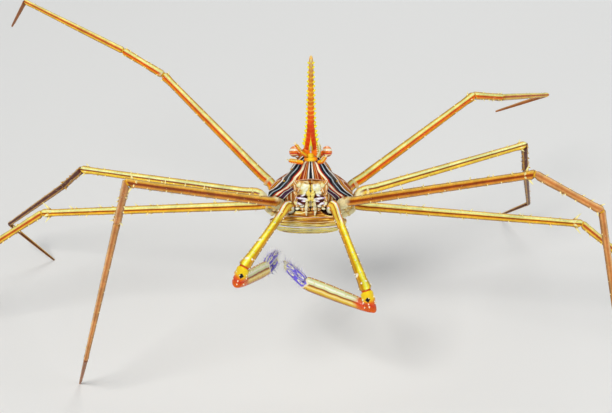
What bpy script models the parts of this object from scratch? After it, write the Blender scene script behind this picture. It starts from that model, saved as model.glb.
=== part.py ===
"""Yellowline arrow crab, life size, standing on six feet with the last pair of legs raised.

Sizes are in millimetres up to the point where a mesh is made; the meshes are in metres.
The crab faces -Y, its left side is +X and the floor is z = 0.
Body points are given as (u, v, w): u forward along the body, v towards the back shell,
w out to one side, all from the rear of the shell.
"""

import math
import random

import bmesh
import bpy
from mathutils import Matrix, Vector

MM = 0.001

# Stance
THORAX_HEIGHT = 31.5
THORAX_U = 6.3
BODY_PITCH = 59.0
SHELL_GAP = 0.3
LEFT, RIGHT = 1, -1

# Shell stations: u, half width, top v, v of the widest line, half width below, bottom v
CARAPACE_STATIONS = (
    (0.4, 2.2, 3.2, 2.1, 1.8, 1.3),
    (1.6, 4.1, 4.2, 1.6, 3.2, 0.6),
    (3.2, 5.8, 4.9, 1.3, 4.4, 0.3),
    (5.0, 7.0, 5.3, 1.1, 5.1, 0.3),
    (6.8, 7.35, 5.5, 0.9, 5.2, 0.2),
    (8.4, 6.5, 5.5, 0.7, 4.8, 0.0),
    (9.9, 5.2, 5.3, 0.7, 2.6, -2.7),
    (11.7, 4.1, 5.1, 1.1, 3.0, -1.4),
    (13.5, 3.3, 4.9, 1.7, 2.7, -0.1),
    (16.0, 2.25, 4.7, 2.9, 1.75, 1.7),
    (17.4, 1.5, 4.6, 3.4, 1.1, 2.6),
    (18.4, 1.2, 4.6, 3.8, 0.8, 3.2),
)
CARAPACE_ARC_STEPS = 12
CARAPACE_ROUNDING = 0.9
CARAPACE_SWELL = 0.35

# Sternum stations: u, half width, bottom v; the top is level
STERNUM_STATIONS = (
    (1.0, 3.0, -3.0),
    (2.2, 4.0, -3.5),
    (4.0, 4.4, -3.6),
    (7.4, 4.4, -3.6),
    (8.2, 4.1, -3.3),
)
STERNUM_TOP = 0.0

# Abdomen stations: u, half width, v of the edge, depth of the dome
ABDOMEN_STATIONS = (
    (2.5, 3.0, -3.9, 0.3),
    (3.2, 4.6, -3.9, 0.65),
    (4.2, 5.6, -3.9, 1.0),
    (5.4, 6.2, -3.9, 1.25),
    (6.6, 6.6, -3.9, 1.35),
    (7.6, 6.5, -3.9, 1.25),
    (8.4, 5.0, -3.9, 0.9),
    (8.9, 3.2, -3.85, 0.6),
    (9.4, 2.1, -3.3, 0.5),
)
ABDOMEN_ARC_STEPS = 10
ABDOMEN_ROUNDING = 0.75
ABDOMEN_SIDE_SHIFT = -0.4

# Rostrum
ROSTRUM_BASE_U = 18.7
ROSTRUM_BASE_V = 3.9
ROSTRUM_LIFT = 12.0
ROSTRUM_STATIONS = (
    (0.0, 1.12, 0.62),
    (1.2, 1.10, 0.74),
    (3.0, 0.88, 0.68),
    (6.0, 0.62, 0.56),
    (11.0, 0.50, 0.48),
    (16.0, 0.41, 0.40),
    (20.4, 0.31, 0.30),
    (21.4, 0.16, 0.15),
)
ROSTRUM_SIDES = 12
ROSTRUM_THORNS = 18
ROSTRUM_THORN_FIRST = 1.8
ROSTRUM_THORN_PITCH = 1.02
ROSTRUM_THORN_SIZES = ((0.75, 0.30), (0.42, 0.20))

# Eyes, feelers and mouth
EYE_ROOT = (17.25, 3.55, 1.95)
EYE_AXIS = (0.55, 0.06, 0.83)
EYE_PROFILE = ((0.0, 0.45), (0.3, 0.5), (0.5, 0.78), (0.8, 0.92), (1.15, 0.94), (1.5, 0.78), (1.8, 0.36))
EYE_SIDES = 14
ANTENNA_PATHS = {
    RIGHT: ((17.2, 1.85, 1.3), (17.5, 1.8, 2.3), (18.0, 1.75, 3.6)),
    LEFT: ((17.2, 1.85, 1.3), (17.7, 1.8, 2.0), (18.6, 2.1, 2.5)),
}
ANTENNA_RADII = (0.36, 0.38, 0.28)
ANTENNULE_PATHS = {
    RIGHT: ((18.3, 2.5, 0.75), (19.4, 2.6, 1.6), (20.8, 3.2, 2.5)),
    LEFT: ((18.3, 2.4, 1.2), (19.4, 2.5, 1.4), (21.4, 2.95, 1.3)),
}
ANTENNULE_RADII = (0.32, 0.32, 0.26)
FACE_ORIGIN = (9.9, -2.7)
FACE_SLOPE = 35.8
MOUTH_STATIONS = (
    (0.3, 1.9, 0.75),
    (1.0, 2.3, 0.95),
    (2.6, 2.7, 1.25),
    (4.0, 2.5, 1.1),
    (4.9, 1.9, 0.8),
)
MOUTH_INNER = 0.17
MOUTH_BACK = 0.32

# Legs: lengths of merus, carpus, propodus and dactylus
LENGTHS = {
    1: (18.7, 3.6, 12.3, 7.0),
    2: (43.0, 11.5, 36.0, 15.0),
    3: (40.0, 10.5, 32.0, 13.5),
    4: (34.5, 9.0, 26.0, 12.5),
    5: (31.0, 8.5, 21.5, 10.5),
}
# Hip of each leg on the line of its merus
HIPS = {
    1: (11.0, -3.0, 3.85),
    2: (9.8, -1.9, 5.6),
    3: (6.2, -0.5, 6.4),
    4: (4.8, 2.0, 6.6),
    5: (2.8, 3.1, 5.0),
}
# Coxa of each leg: its root on the sternum and the points on its way to the merus
COXAE = {
    1: ((8.6, -2.8, 3.3),),
    2: ((7.2, -1.6, 4.95),),
    3: ((5.2, -1.2, 4.7),),
    4: ((3.5, -1.2, 4.7), (4.0, -0.3, 7.0)),
    5: ((1.7, -1.0, 4.2), (2.0, 0.4, 6.0)),
}
# Distance from the hip to where the tube joins the line of the merus
SHOULDER = {1: 0.0, 2: 0.0, 3: 0.0, 4: 2.3, 5: 2.4}
# Heading from straight ahead out to the leg's own side, and rise above level, in degrees.
# A rise of None is worked out, so that the tip of the leg comes down on the floor.
POSE = {
    (1, RIGHT): ((21.4, -2.4), (113, -71), (-158, -21), (-164, -13)),
    (1, LEFT): ((16.5, -17.3), (106, -78), (-120, 3), (-146, 3)),
    (2, RIGHT): ((35, 31), (152, -61), (138, -69), (160, None)),
    (2, LEFT): ((47, 29), (80, -27), (100, -77), (100, None)),
    (3, RIGHT): ((88.5, -1.5), (87, -34), (86, -28), (86, None)),
    (3, LEFT): ((80.5, 0.5), (88, -41), (92, -28), (92, None)),
    (4, RIGHT): ((100, 3), (137, -44), (134, -41), (-103, None)),
    (4, LEFT): ((111, 5.3), (164, -57), (166, -46), (-152, None)),
    (5, RIGHT): ((127, 30), (111, 24), (116, 15), (144, -47)),
    (5, LEFT): ((121, 23), (133, -22), (145, -22), (-87, -19)),
}
LEG_SIDES = 10
COXA_RADIUS = 0.72
HIP_RADIUS = 0.85
MERUS_RADII = (0.80, 0.72, 0.62)
CARPUS_RADII = (0.60, 0.56, 0.60)
PROPODUS_RADII = (0.52, 0.50, 0.40)
DACTYLUS_RADII = (0.36, 0.32, 0.24)
FOOT_RADIUS = 0.17
JOINT_REACH = 2.4
# Shares and distances along a limb
HIP_NECK = 0.94
KNEE_FLARE = 1.08
LINK_FLARE = 1.06
LINK_NEAR_SHARE = 0.3
SHOULDER_REACH = 3.0
DACTYLUS_NECK = 1.5
DACTYLUS_TAPER = 1.6

# Claws
ARM_RADII = (0.74, 0.70, 0.88)
WRIST_RADII = (0.95, 1.15, 0.95)
# Hand stations: reach from the wrist, offset upwards, half height, half thickness
PALM_STATIONS = (
    (0.0, 0.0, 0.80, 0.72),
    (1.8, 0.0, 1.05, 0.90),
    (6.0, 0.0, 1.25, 1.00),
    (10.0, 0.0, 1.32, 1.02),
    (11.9, 0.0, 1.22, 0.94),
    (12.4, -0.64, 0.50, 0.66),
    (15.2, -0.64, 0.50, 0.60),
    (17.5, -0.52, 0.40, 0.46),
    (18.4, -0.38, 0.22, 0.26),
)
FINGER_STATIONS = (
    (12.3, 0.62, 0.44, 0.58),
    (13.2, 0.70, 0.52, 0.64),
    (15.4, 0.68, 0.52, 0.58),
    (17.6, 0.52, 0.40, 0.44),
    (18.6, 0.38, 0.22, 0.25),
)
HAND_SIDES = 12

# Thorns: height above the surface and root radius
THORN_SIZES = {"small": (0.42, 0.20), "middle": (0.62, 0.23), "large": (1.25, 0.29)}
THORN_SIDES = 4
THORN_SINK = 0.5
THORN_WAIST = 0.6
THORN_LEAN = 0.55
THORN_VARIATION = 0.18
# Rows of thorns: turn around the limb from its top, in degrees, how many, and their size
MERUS_ROWS = {
    1: ((35, 7, "small"), (-75, 6, "small")),
    2: ((20, 8, "middle"), (-60, 6, "small"), (150, 5, "small")),
    3: ((20, 8, "middle"), (-60, 6, "small"), (150, 5, "small")),
    4: ((20, 6, "small"), (-60, 4, "small")),
    5: ((20, 5, "small"), (-60, 4, "small")),
}
CARPUS_ROWS = ((10, 2, "small"),)
WRIST_ROWS = ((12, 2, "small"), (100, 1, "middle"), (-84, 2, "small"))
PALM_ROWS = ((0, 5, "small"), (180, 4, "small"))
KNEE_TURNS = (35, -35)
KNEE_SETBACK = 1.5
ROW_MARGIN = 0.08
SEED = 7

# Colours: base colour and roughness
COLOURS = {
    "shell": ((0.62, 0.30, 0.09, 1.0), 0.45),
    "leg": ((0.80, 0.47, 0.08, 1.0), 0.42),
    "leg_end": ((0.38, 0.10, 0.03, 1.0), 0.50),
    "claw": ((0.80, 0.66, 0.30, 1.0), 0.40),
    "finger": ((0.24, 0.20, 0.72, 1.0), 0.40),
    "rostrum": ((0.66, 0.16, 0.04, 1.0), 0.45),
    "eye": ((0.60, 0.08, 0.03, 1.0), 0.20),
    "feeler": ((0.75, 0.22, 0.03, 1.0), 0.45),
    "mouth": ((0.80, 0.66, 0.34, 1.0), 0.45),
    "belly": ((0.72, 0.44, 0.10, 1.0), 0.40),
    "sternum": ((0.75, 0.66, 0.45, 1.0), 0.50),
}

PITCH = math.radians(BODY_PITCH)
AXIS_U = Vector((0.0, -math.cos(PITCH), math.sin(PITCH)))
AXIS_V = Vector((0.0, math.sin(PITCH), math.cos(PITCH)))
THORAX = Vector((0.0, 0.0, THORAX_HEIGHT))
nodes = []


def clear_scene():
    for item in list(bpy.data.objects):
        bpy.data.objects.remove(item, do_unlink=True)


def body_point(u, v, w):
    return THORAX + AXIS_U * (u - THORAX_U) + AXIS_V * v + Vector((w, 0.0, 0.0))


def body_direction(u, v, w):
    return (AXIS_U * u + AXIS_V * v + Vector((w, 0.0, 0.0))).normalized()


def heading_direction(heading, rise, side):
    out, up = math.radians(heading), math.radians(rise)
    flat = math.cos(up)
    return Vector((side * math.sin(out) * flat, -math.cos(out) * flat, math.sin(up)))


def colour(kind):
    name = "mat_" + kind
    found = bpy.data.materials.get(name)
    if found:
        return found
    made = bpy.data.materials.new(name)
    made.use_nodes = True
    shader = made.node_tree.nodes["Principled BSDF"]
    base, rough = COLOURS[kind]
    shader.inputs["Base Color"].default_value = base
    shader.inputs["Roughness"].default_value = rough
    shader.inputs["Metallic"].default_value = 0.0
    return made


def mesh_object(name, vertices, faces, kind):
    """A closed triangle mesh from points in millimetres, turned right side out."""
    work = bmesh.new()
    made = [work.verts.new(Vector(point) * MM) for point in vertices]
    for face in faces:
        work.faces.new([made[index] for index in face])
    bmesh.ops.recalc_face_normals(work, faces=work.faces)
    bmesh.ops.triangulate(work, faces=work.faces)
    if work.calc_volume(signed=True) < 0:
        bmesh.ops.reverse_faces(work, faces=work.faces)
    mesh = bpy.data.meshes.new(name)
    work.to_mesh(mesh)
    work.free()
    for polygon in mesh.polygons:
        polygon.use_smooth = True
    mesh.materials.append(colour(kind))
    item = bpy.data.objects.new(name, mesh)
    bpy.context.scene.collection.objects.link(item)
    return item


def skin(name, rings, kind):
    """Joins rings of equal length to a closed skin; each end is closed by a fan to its middle."""
    count = len(rings[0])
    points = [point for ring in rings for point in ring]
    faces = []
    for row in range(len(rings) - 1):
        for step in range(count):
            after = (step + 1) % count
            low, high = row * count, (row + 1) * count
            faces.append((low + step, low + after, high + after, high + step))
    for row in (0, len(rings) - 1):
        middle = sum((Vector(point) for point in rings[row]), Vector()) / count
        points.append(middle)
        centre = len(points) - 1
        start = row * count
        for step in range(count):
            faces.append((start + step, start + (step + 1) % count, centre))
    return mesh_object(name, points, faces, kind)


def ring_offset(index, sides, first, second, wide, deep):
    angle = 2.0 * math.pi * (index + 0.5) / sides
    return first * (wide * math.cos(angle)) + second * (deep * math.sin(angle))


def tube_rings(path, radii, sides, first_normal=None, last_normal=None, first_gap=0.0, last_gap=0.0):
    """Round rings along a path; bends are mitred and the ends cut along the planes asked for."""
    spans = [(path[i + 1] - path[i]).normalized() for i in range(len(path) - 1)]
    across = spans[0].orthogonal().normalized()
    rings = []
    for index, point in enumerate(path):
        along = spans[max(index - 1, 0)]
        if index > 1:
            turn = spans[index - 2].rotation_difference(along)
            across = turn @ across
        across = (across - along * across.dot(along)).normalized()
        other = along.cross(across)
        if index == 0:
            normal, shift = first_normal or along, first_gap
        elif index == len(path) - 1:
            normal, shift = last_normal or along, -last_gap
        else:
            normal, shift = (along + spans[index]).normalized(), 0.0
        ring = []
        for step in range(sides):
            offset = ring_offset(step, sides, across, other, radii[index], radii[index])
            slide = (shift - offset.dot(normal)) / along.dot(normal)
            ring.append(point + offset + along * slide)
        rings.append(ring)
    return rings


def half_sign(value, power):
    return math.copysign(abs(value) ** power, value)


def upright(along):
    """The direction nearest to straight up that is square to a limb."""
    up = Vector((0.0, 0.0, 1.0))
    return (up - along * up.dot(along)).normalized()


def thorn(root, direction, height, radius):
    """A small closed thorn: a square root ring, a waist and a tip."""
    along = direction.normalized()
    across = along.orthogonal().normalized()
    other = along.cross(across)
    points = []
    for reach, size in ((0.0, radius), (height * THORN_WAIST, radius * THORN_WAIST)):
        for step in range(THORN_SIDES):
            points.append(root + along * reach + ring_offset(step, THORN_SIDES, across, other, size, size))
    points.append(root + along * height)
    tip = len(points) - 1
    faces = [tuple(range(THORN_SIDES))]
    for step in range(THORN_SIDES):
        after = (step + 1) % THORN_SIDES
        faces.append((step, after, THORN_SIDES + after, THORN_SIDES + step))
        faces.append((THORN_SIDES + step, THORN_SIDES + after, tip))
    return mesh_object("thorn", points, faces, "leg")


def thorn_on_limb(centre, along, turn, radius, kind):
    height, root = THORN_SIZES[kind]
    height *= random.uniform(1.0 - THORN_VARIATION, 1.0 + THORN_VARIATION)
    up = upright(along)
    angle = math.radians(turn)
    out = up * math.cos(angle) + along.cross(up) * math.sin(angle)
    start = centre + out * (radius * THORN_SINK)
    lean = out + along * THORN_LEAN
    return thorn(start, lean, radius * (1.0 - THORN_SINK) * lean.length + height, root)


def thorn_row(start, end, radii, turn, count, kind):
    along = (end - start).normalized()
    made = []
    for index in range(count):
        share = ROW_MARGIN + (1.0 - 2.0 * ROW_MARGIN) * (index + random.uniform(0.3, 0.7)) / count
        radius = radii[0] + (radii[1] - radii[0]) * share
        made.append(thorn_on_limb(start + (end - start) * share, along, turn, radius, kind))
    return made


def keep_largest(item):
    """Leaves only the largest closed surface of a mesh."""
    work = bmesh.new()
    work.from_mesh(item.data)
    waiting = set(work.faces)
    shells = []
    while waiting:
        edge_of_search = [waiting.pop()]
        shell = list(edge_of_search)
        while edge_of_search:
            face = edge_of_search.pop()
            for edge in face.edges:
                for linked in edge.link_faces:
                    if linked in waiting:
                        waiting.remove(linked)
                        edge_of_search.append(linked)
                        shell.append(linked)
        shells.append(shell)
    shells.sort(key=lambda shell: sum(face.calc_area() for face in shell), reverse=True)
    spare = [face for shell in shells[1:] for face in shell]
    if spare:
        bmesh.ops.delete(work, geom=spare, context="FACES")
    bmesh.ops.triangulate(work, faces=work.faces)
    work.to_mesh(item.data)
    work.free()


def fuse(item, thorns):
    """One Boolean union of a limb with all of its thorns."""
    group = bpy.data.collections.new("thorns")
    bpy.context.scene.collection.children.link(group)
    for piece in thorns:
        bpy.context.scene.collection.objects.unlink(piece)
        group.objects.link(piece)
    union = item.modifiers.new("thorns", "BOOLEAN")
    union.operation = "UNION"
    union.operand_type = "COLLECTION"
    union.collection = group
    union.solver = "EXACT"
    bpy.context.view_layer.objects.active = item
    bpy.ops.object.modifier_apply(modifier=union.name)
    for piece in list(group.objects):
        bpy.data.objects.remove(piece, do_unlink=True)
    bpy.data.collections.remove(group)
    keep_largest(item)


def build_carapace():
    rings = []
    for u, wide, top, middle, below, bottom in CARAPACE_STATIONS:
        ring = []
        for step in range(CARAPACE_ARC_STEPS + 1):
            angle = math.pi * step / CARAPACE_ARC_STEPS
            across = wide * half_sign(math.cos(angle), CARAPACE_ROUNDING)
            ring.append(body_point(u, middle + (top - middle) * math.sin(angle), across))
        swell_w = (wide + below) / 2.0 + CARAPACE_SWELL
        swell_v = (middle + bottom) / 2.0
        ring.append(body_point(u, swell_v, -swell_w))
        for part in (-1.0, -0.4, 0.4, 1.0):
            ring.append(body_point(u, bottom, below * part))
        ring.append(body_point(u, swell_v, swell_w))
        rings.append(ring)
    nodes.append(skin("carapace", rings, "shell"))


def build_sternum():
    rings = []
    for u, wide, bottom in STERNUM_STATIONS:
        ring = []
        for share, level in ((1.0, 0.0), (1.0, 0.7), (0.8, 1.0), (0.0, 1.0), (-0.8, 1.0), (-1.0, 0.7),
                             (-1.0, 0.0), (0.0, 0.0)):
            ring.append(body_point(u, STERNUM_TOP + (bottom - STERNUM_TOP) * level, wide * share))
        rings.append(ring)
    nodes.append(skin("sternum", rings, "sternum"))


def build_abdomen():
    rings = []
    for u, wide, edge, depth in ABDOMEN_STATIONS:
        ring = []
        for step in range(ABDOMEN_ARC_STEPS + 1):
            angle = math.pi * step / ABDOMEN_ARC_STEPS
            fall = depth * math.sin(angle) ** ABDOMEN_ROUNDING
            ring.append(body_point(u, edge - fall, ABDOMEN_SIDE_SHIFT + wide * math.cos(angle)))
        rings.append(ring)
    nodes.append(skin("abdomen", rings, "belly"))


def rostrum_frame():
    lift = math.radians(ROSTRUM_LIFT)
    along = AXIS_U * math.cos(lift) + AXIS_V * math.sin(lift)
    return body_point(ROSTRUM_BASE_U, ROSTRUM_BASE_V, 0.0), along, Vector((1.0, 0.0, 0.0))


def rostrum_width(reach):
    for low, high in zip(ROSTRUM_STATIONS, ROSTRUM_STATIONS[1:]):
        if reach <= high[0]:
            share = (reach - low[0]) / (high[0] - low[0])
            return low[1] + (high[1] - low[1]) * share
    return ROSTRUM_STATIONS[-1][1]


def build_rostrum():
    origin, along, across = rostrum_frame()
    back = across.cross(along)
    rings = []
    for reach, wide, deep in ROSTRUM_STATIONS:
        centre = origin + along * reach
        rings.append([centre + ring_offset(step, ROSTRUM_SIDES, across, back, wide, deep)
                      for step in range(ROSTRUM_SIDES)])
    item = skin("rostrum", rings, "rostrum")
    thorns = []
    large, small = ROSTRUM_THORN_SIZES
    for index in range(ROSTRUM_THORNS):
        reach = ROSTRUM_THORN_FIRST + ROSTRUM_THORN_PITCH * index
        share = index / (ROSTRUM_THORNS - 1)
        height = large[0] + (small[0] - large[0]) * share
        root = large[1] + (small[1] - large[1]) * share
        wide = rostrum_width(reach)
        for side in (LEFT, RIGHT):
            lean = across * side + along * THORN_LEAN
            start = origin + along * reach + across * (side * wide * THORN_SINK)
            length = wide * (1.0 - THORN_SINK) * lean.length
            thorns.append(thorn(start, lean, length + height * random.uniform(0.9, 1.1), root))
    fuse(item, thorns)
    nodes.append(item)


def build_eye(side, word):
    root = body_point(EYE_ROOT[0], EYE_ROOT[1], side * EYE_ROOT[2])
    along = body_direction(EYE_AXIS[0], EYE_AXIS[1], side * EYE_AXIS[2])
    across = along.orthogonal().normalized()
    other = along.cross(across)
    rings = []
    for reach, radius in EYE_PROFILE:
        rings.append([root + along * reach + ring_offset(step, EYE_SIDES, across, other, radius, radius)
                      for step in range(EYE_SIDES)])
    nodes.append(skin("eye_" + word, rings, "eye"))


def build_feeler(name, path, radii, side):
    points = [body_point(u, v, side * w) for u, v, w in path]
    nodes.append(skin(name, tube_rings(points, radii, 8), "feeler"))


def build_maxilliped(side, word):
    slope = math.radians(FACE_SLOPE)
    rings = []
    for reach, outer, depth in MOUTH_STATIONS:
        ring = []
        base_u = FACE_ORIGIN[0] + reach * math.cos(slope)
        base_v = FACE_ORIGIN[1] + reach * math.sin(slope)
        middle = (outer + MOUTH_INNER) / 2.0
        for w, rise in ((MOUTH_INNER, 0.0), (MOUTH_INNER, 0.8), (middle, 1.0), (outer * 0.85, 0.85),
                        (outer, 0.45), (outer, 0.0)):
            lift = MOUTH_BACK + (depth - MOUTH_BACK) * rise
            ring.append(body_point(base_u + lift * math.sin(slope), base_v - lift * math.cos(slope),
                                   side * w))
        rings.append(ring)
    nodes.append(skin("maxilliped_" + word, rings, "mouth"))


def leg_joints(number, side):
    """Hip, knee and the joints after it; the last one is the tip of the leg."""
    u, v, w = HIPS[number]
    joints = [body_point(u, v, side * w)]
    for length, (heading, rise) in zip(LENGTHS[number], POSE[(number, side)]):
        if rise is None:
            rise = -math.degrees(math.asin(min(1.0, joints[-1].z / length)))
        joints.append(joints[-1] + heading_direction(heading, rise, side) * length)
    return joints


def mitre(joints, index):
    before = (joints[index] - joints[index - 1]).normalized()
    after = (joints[index + 1] - joints[index]).normalized()
    return (before + after).normalized()


def span_points(start, end, reaches):
    along = (end - start).normalized()
    length = (end - start).length
    return [start + along * (reach if reach >= 0 else length + reach) for reach in reaches]


def build_merus(number, side, word, joints):
    hip, knee = joints[0], joints[1]
    coxa = [body_point(u, v, side * w) for u, v, w in COXAE[number]]
    along = (knee - hip).normalized()
    shoulder = hip + along * SHOULDER[number]
    straight = span_points(shoulder, knee, (SHOULDER_REACH, (knee - shoulder).length * 0.5, -JOINT_REACH))
    radii_set = ARM_RADII if number == 1 else MERUS_RADII
    last = radii_set[2] * KNEE_FLARE
    path = coxa + [shoulder] + straight + [knee]
    radii = [COXA_RADIUS] + [HIP_RADIUS * HIP_NECK] * (len(coxa) - 1)
    radii += [HIP_RADIUS, radii_set[0], radii_set[1], radii_set[2], last]
    root = AXIS_U if number == 1 else Vector((side, 0.0, 0.0))
    if number == 2:
        root = (root + (path[1] - path[0]).normalized()).normalized()
    rings = tube_rings(path, radii, LEG_SIDES, root, mitre(joints, 1), 0.0, SHELL_GAP / 2.0)
    item = skin("leg%d_%s_merus" % (number, word), rings, "claw" if number == 1 else "leg")
    thorns = []
    for turn, count, kind in MERUS_ROWS[number]:
        thorns += thorn_row(shoulder, knee, (radii_set[0], radii_set[2]), turn * side, count, kind)
    for turn in KNEE_TURNS:
        size = "large" if number in (2, 3) else "middle"
        thorns.append(thorn_on_limb(knee - along * KNEE_SETBACK, along, turn, radii_set[2], size))
    fuse(item, thorns)
    nodes.append(item)


def build_link(name, joints, index, radii, kind, sides=LEG_SIDES, rows=()):
    """A carpus or propodus between two mitred joints."""
    start, end = joints[index], joints[index + 1]
    length = (end - start).length
    near = min(JOINT_REACH, length * LINK_NEAR_SHARE)
    path = [start] + span_points(start, end, (near, length * 0.5, -near)) + [end]
    sizes = [radii[0], radii[0] * LINK_FLARE, radii[1], radii[2], radii[2]]
    rings = tube_rings(path, sizes, sides, mitre(joints, index), mitre(joints, index + 1),
                       SHELL_GAP / 2.0, SHELL_GAP / 2.0)
    item = skin(name, rings, kind)
    if rows:
        thorns = []
        for turn, count, size in rows:
            thorns += thorn_row(path[1], path[3], (radii[0], radii[2]), turn, count, size)
        fuse(item, thorns)
    nodes.append(item)


def build_dactylus(name, joints, on_floor, kind):
    start, end = joints[3], joints[4]
    length = (end - start).length
    path = [start] + span_points(start, end, (DACTYLUS_NECK, length * 0.5, -DACTYLUS_TAPER)) + [end]
    root, middle, tip = DACTYLUS_RADII
    sizes = [root, root, middle, tip, FOOT_RADIUS]
    floor = Vector((0.0, 0.0, -1.0)) if on_floor else None
    rings = tube_rings(path, sizes, LEG_SIDES, mitre(joints, 3), floor, SHELL_GAP / 2.0, 0.0)
    nodes.append(skin(name, rings, kind))


def build_walking_leg(number, side, word):
    joints = leg_joints(number, side)
    stem = "leg%d_%s_" % (number, word)
    build_merus(number, side, word, joints)
    end_kind = "leg_end" if number == 4 else "leg"
    build_link(stem + "carpus", joints, 1, CARPUS_RADII, end_kind, rows=CARPUS_ROWS)
    build_link(stem + "propodus", joints, 2, PROPODUS_RADII, end_kind)
    build_dactylus(stem + "dactylus", joints, number != 5, "leg_end")


def hand_place(joints, reach):
    """Point and directions along the hand, which bends where the fingers start."""
    palm = LENGTHS[1][2]
    first = 2 if reach < palm else 3
    along = (joints[first + 1] - joints[first]).normalized()
    past = reach if first == 2 else reach - palm
    upper = upright(along)
    return joints[first] + along * past, along, upper, along.cross(upper)


def hand_rings(joints, stations):
    rings = []
    for reach, offset, tall, thick in stations:
        point, _, upper, inner = hand_place(joints, reach)
        rings.append([point + upper * offset + ring_offset(step, HAND_SIDES, upper, inner, tall, thick)
                      for step in range(HAND_SIDES)])
    return rings


def build_claw_leg(side, word):
    joints = leg_joints(1, side)
    stem = "leg1_%s_" % word
    build_merus(1, side, word, joints)
    build_link(stem + "carpus", joints, 1, WRIST_RADII, "claw", HAND_SIDES, WRIST_ROWS)
    rings = hand_rings(joints, PALM_STATIONS)
    wrist, along, upper, _ = hand_place(joints, 0.0)
    normal = mitre(joints, 2)
    for step, point in enumerate(rings[0]):
        slide = (SHELL_GAP / 2.0 - (point - wrist).dot(normal)) / along.dot(normal)
        rings[0][step] = point + along * slide
    item = skin(stem + "palm", rings, "claw")
    thorns = []
    for turn, count, size in PALM_ROWS:
        end = wrist + along * PALM_STATIONS[4][0]
        thorns += thorn_row(wrist, end, (PALM_STATIONS[1][2], PALM_STATIONS[3][2]), turn, count, size)
    fuse(item, thorns)
    nodes.append(item)
    nodes.append(skin(stem + "finger", hand_rings(joints, FINGER_STATIONS), "finger"))


def recentre():
    """Moves everything so that the box of the crab stands centred on the origin."""
    low = Vector((1e9, 1e9, 1e9))
    high = -low
    for item in nodes:
        for vertex in item.data.vertices:
            for axis in range(3):
                low[axis] = min(low[axis], vertex.co[axis])
                high[axis] = max(high[axis], vertex.co[axis])
    shift = Vector((-(low.x + high.x) / 2.0, -(low.y + high.y) / 2.0, -low.z))
    for item in nodes:
        item.data.transform(Matrix.Translation(shift))


def main():
    clear_scene()
    random.seed(SEED)
    build_carapace()
    build_sternum()
    build_abdomen()
    build_rostrum()
    for side, word in ((LEFT, "left"), (RIGHT, "right")):
        build_eye(side, word)
        build_feeler("antenna_" + word, ANTENNA_PATHS[side], ANTENNA_RADII, side)
        build_feeler("antennule_" + word, ANTENNULE_PATHS[side], ANTENNULE_RADII, side)
        build_maxilliped(side, word)
        build_claw_leg(side, word)
        for number in (2, 3, 4, 5):
            build_walking_leg(number, side, word)
    recentre()


main()
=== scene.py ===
"""Dresses the solids of a yellowline arrow crab: shell, legs, claws, eyes, mouth, setae and stage.

Sizes are in millimetres up to the point where a mesh is made; the meshes are in metres.
The shapes repeat the named sizes of the solids. Body points are (u, v, w): u forward along
the body, v towards the back shell, w out to one side.
"""

import math
import random
from types import SimpleNamespace

import bmesh
import bpy
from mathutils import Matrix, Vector, noise


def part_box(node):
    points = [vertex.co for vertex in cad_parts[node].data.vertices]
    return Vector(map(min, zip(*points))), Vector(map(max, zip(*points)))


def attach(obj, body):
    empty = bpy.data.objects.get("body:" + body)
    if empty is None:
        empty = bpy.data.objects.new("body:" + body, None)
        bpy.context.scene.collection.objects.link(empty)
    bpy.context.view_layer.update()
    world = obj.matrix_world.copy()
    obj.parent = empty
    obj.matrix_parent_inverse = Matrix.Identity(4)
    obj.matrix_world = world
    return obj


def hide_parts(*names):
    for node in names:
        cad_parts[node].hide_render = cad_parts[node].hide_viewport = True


bl_info = {
    "name": "Arrow crab dressing",
    "version": (1, 0, 0),
    "blender": (4, 5, 0),
    "location": "3D View > Sidebar > Arrow crab",
    "description": "Builds the striped shell, legs, claws, mouth and setae of an arrow crab",
    "category": "Object",
}

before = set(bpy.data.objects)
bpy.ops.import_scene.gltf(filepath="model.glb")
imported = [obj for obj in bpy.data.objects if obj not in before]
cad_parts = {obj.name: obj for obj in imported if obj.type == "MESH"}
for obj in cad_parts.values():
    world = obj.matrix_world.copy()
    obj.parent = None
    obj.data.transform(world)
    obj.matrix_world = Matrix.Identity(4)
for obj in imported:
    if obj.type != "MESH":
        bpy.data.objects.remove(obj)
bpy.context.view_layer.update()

MM = 0.001
LEFT, RIGHT = 1, -1
SIDES = ((LEFT, "left"), (RIGHT, "right"))
BODY = "root"

# Stance, as in the solids
THORAX_HEIGHT = 31.5
THORAX_U = 6.3
BODY_PITCH = 59.0
SHELL_GAP = 0.3

# Shell stations: u, half width, top v, v of the widest line, half width below, bottom v
CARAPACE_STATIONS = (
    (0.4, 2.2, 3.2, 2.1, 1.8, 1.3), (1.6, 4.1, 4.2, 1.6, 3.2, 0.6), (3.2, 5.8, 4.9, 1.3, 4.4, 0.3),
    (5.0, 7.0, 5.3, 1.1, 5.1, 0.3), (6.8, 7.35, 5.5, 0.9, 5.2, 0.2), (8.4, 6.5, 5.5, 0.7, 4.8, 0.0),
    (9.9, 5.2, 5.3, 0.7, 2.6, -2.7), (11.7, 4.1, 5.1, 1.1, 3.0, -1.4), (13.5, 3.3, 4.9, 1.7, 2.7, -0.1),
    (16.0, 2.25, 4.7, 2.9, 1.75, 1.7), (17.4, 1.5, 4.6, 3.4, 1.1, 2.6), (18.4, 1.2, 4.6, 3.8, 0.8, 3.2),
)
SHELL_SWELL = 0.35
# Underside: u, half width, bottom v
STERNUM_STATIONS = (
    (1.0, 3.0, -3.0), (2.2, 4.0, -3.5), (4.0, 4.4, -3.6), (7.4, 4.4, -3.6), (8.2, 4.1, -3.3),
)
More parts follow.
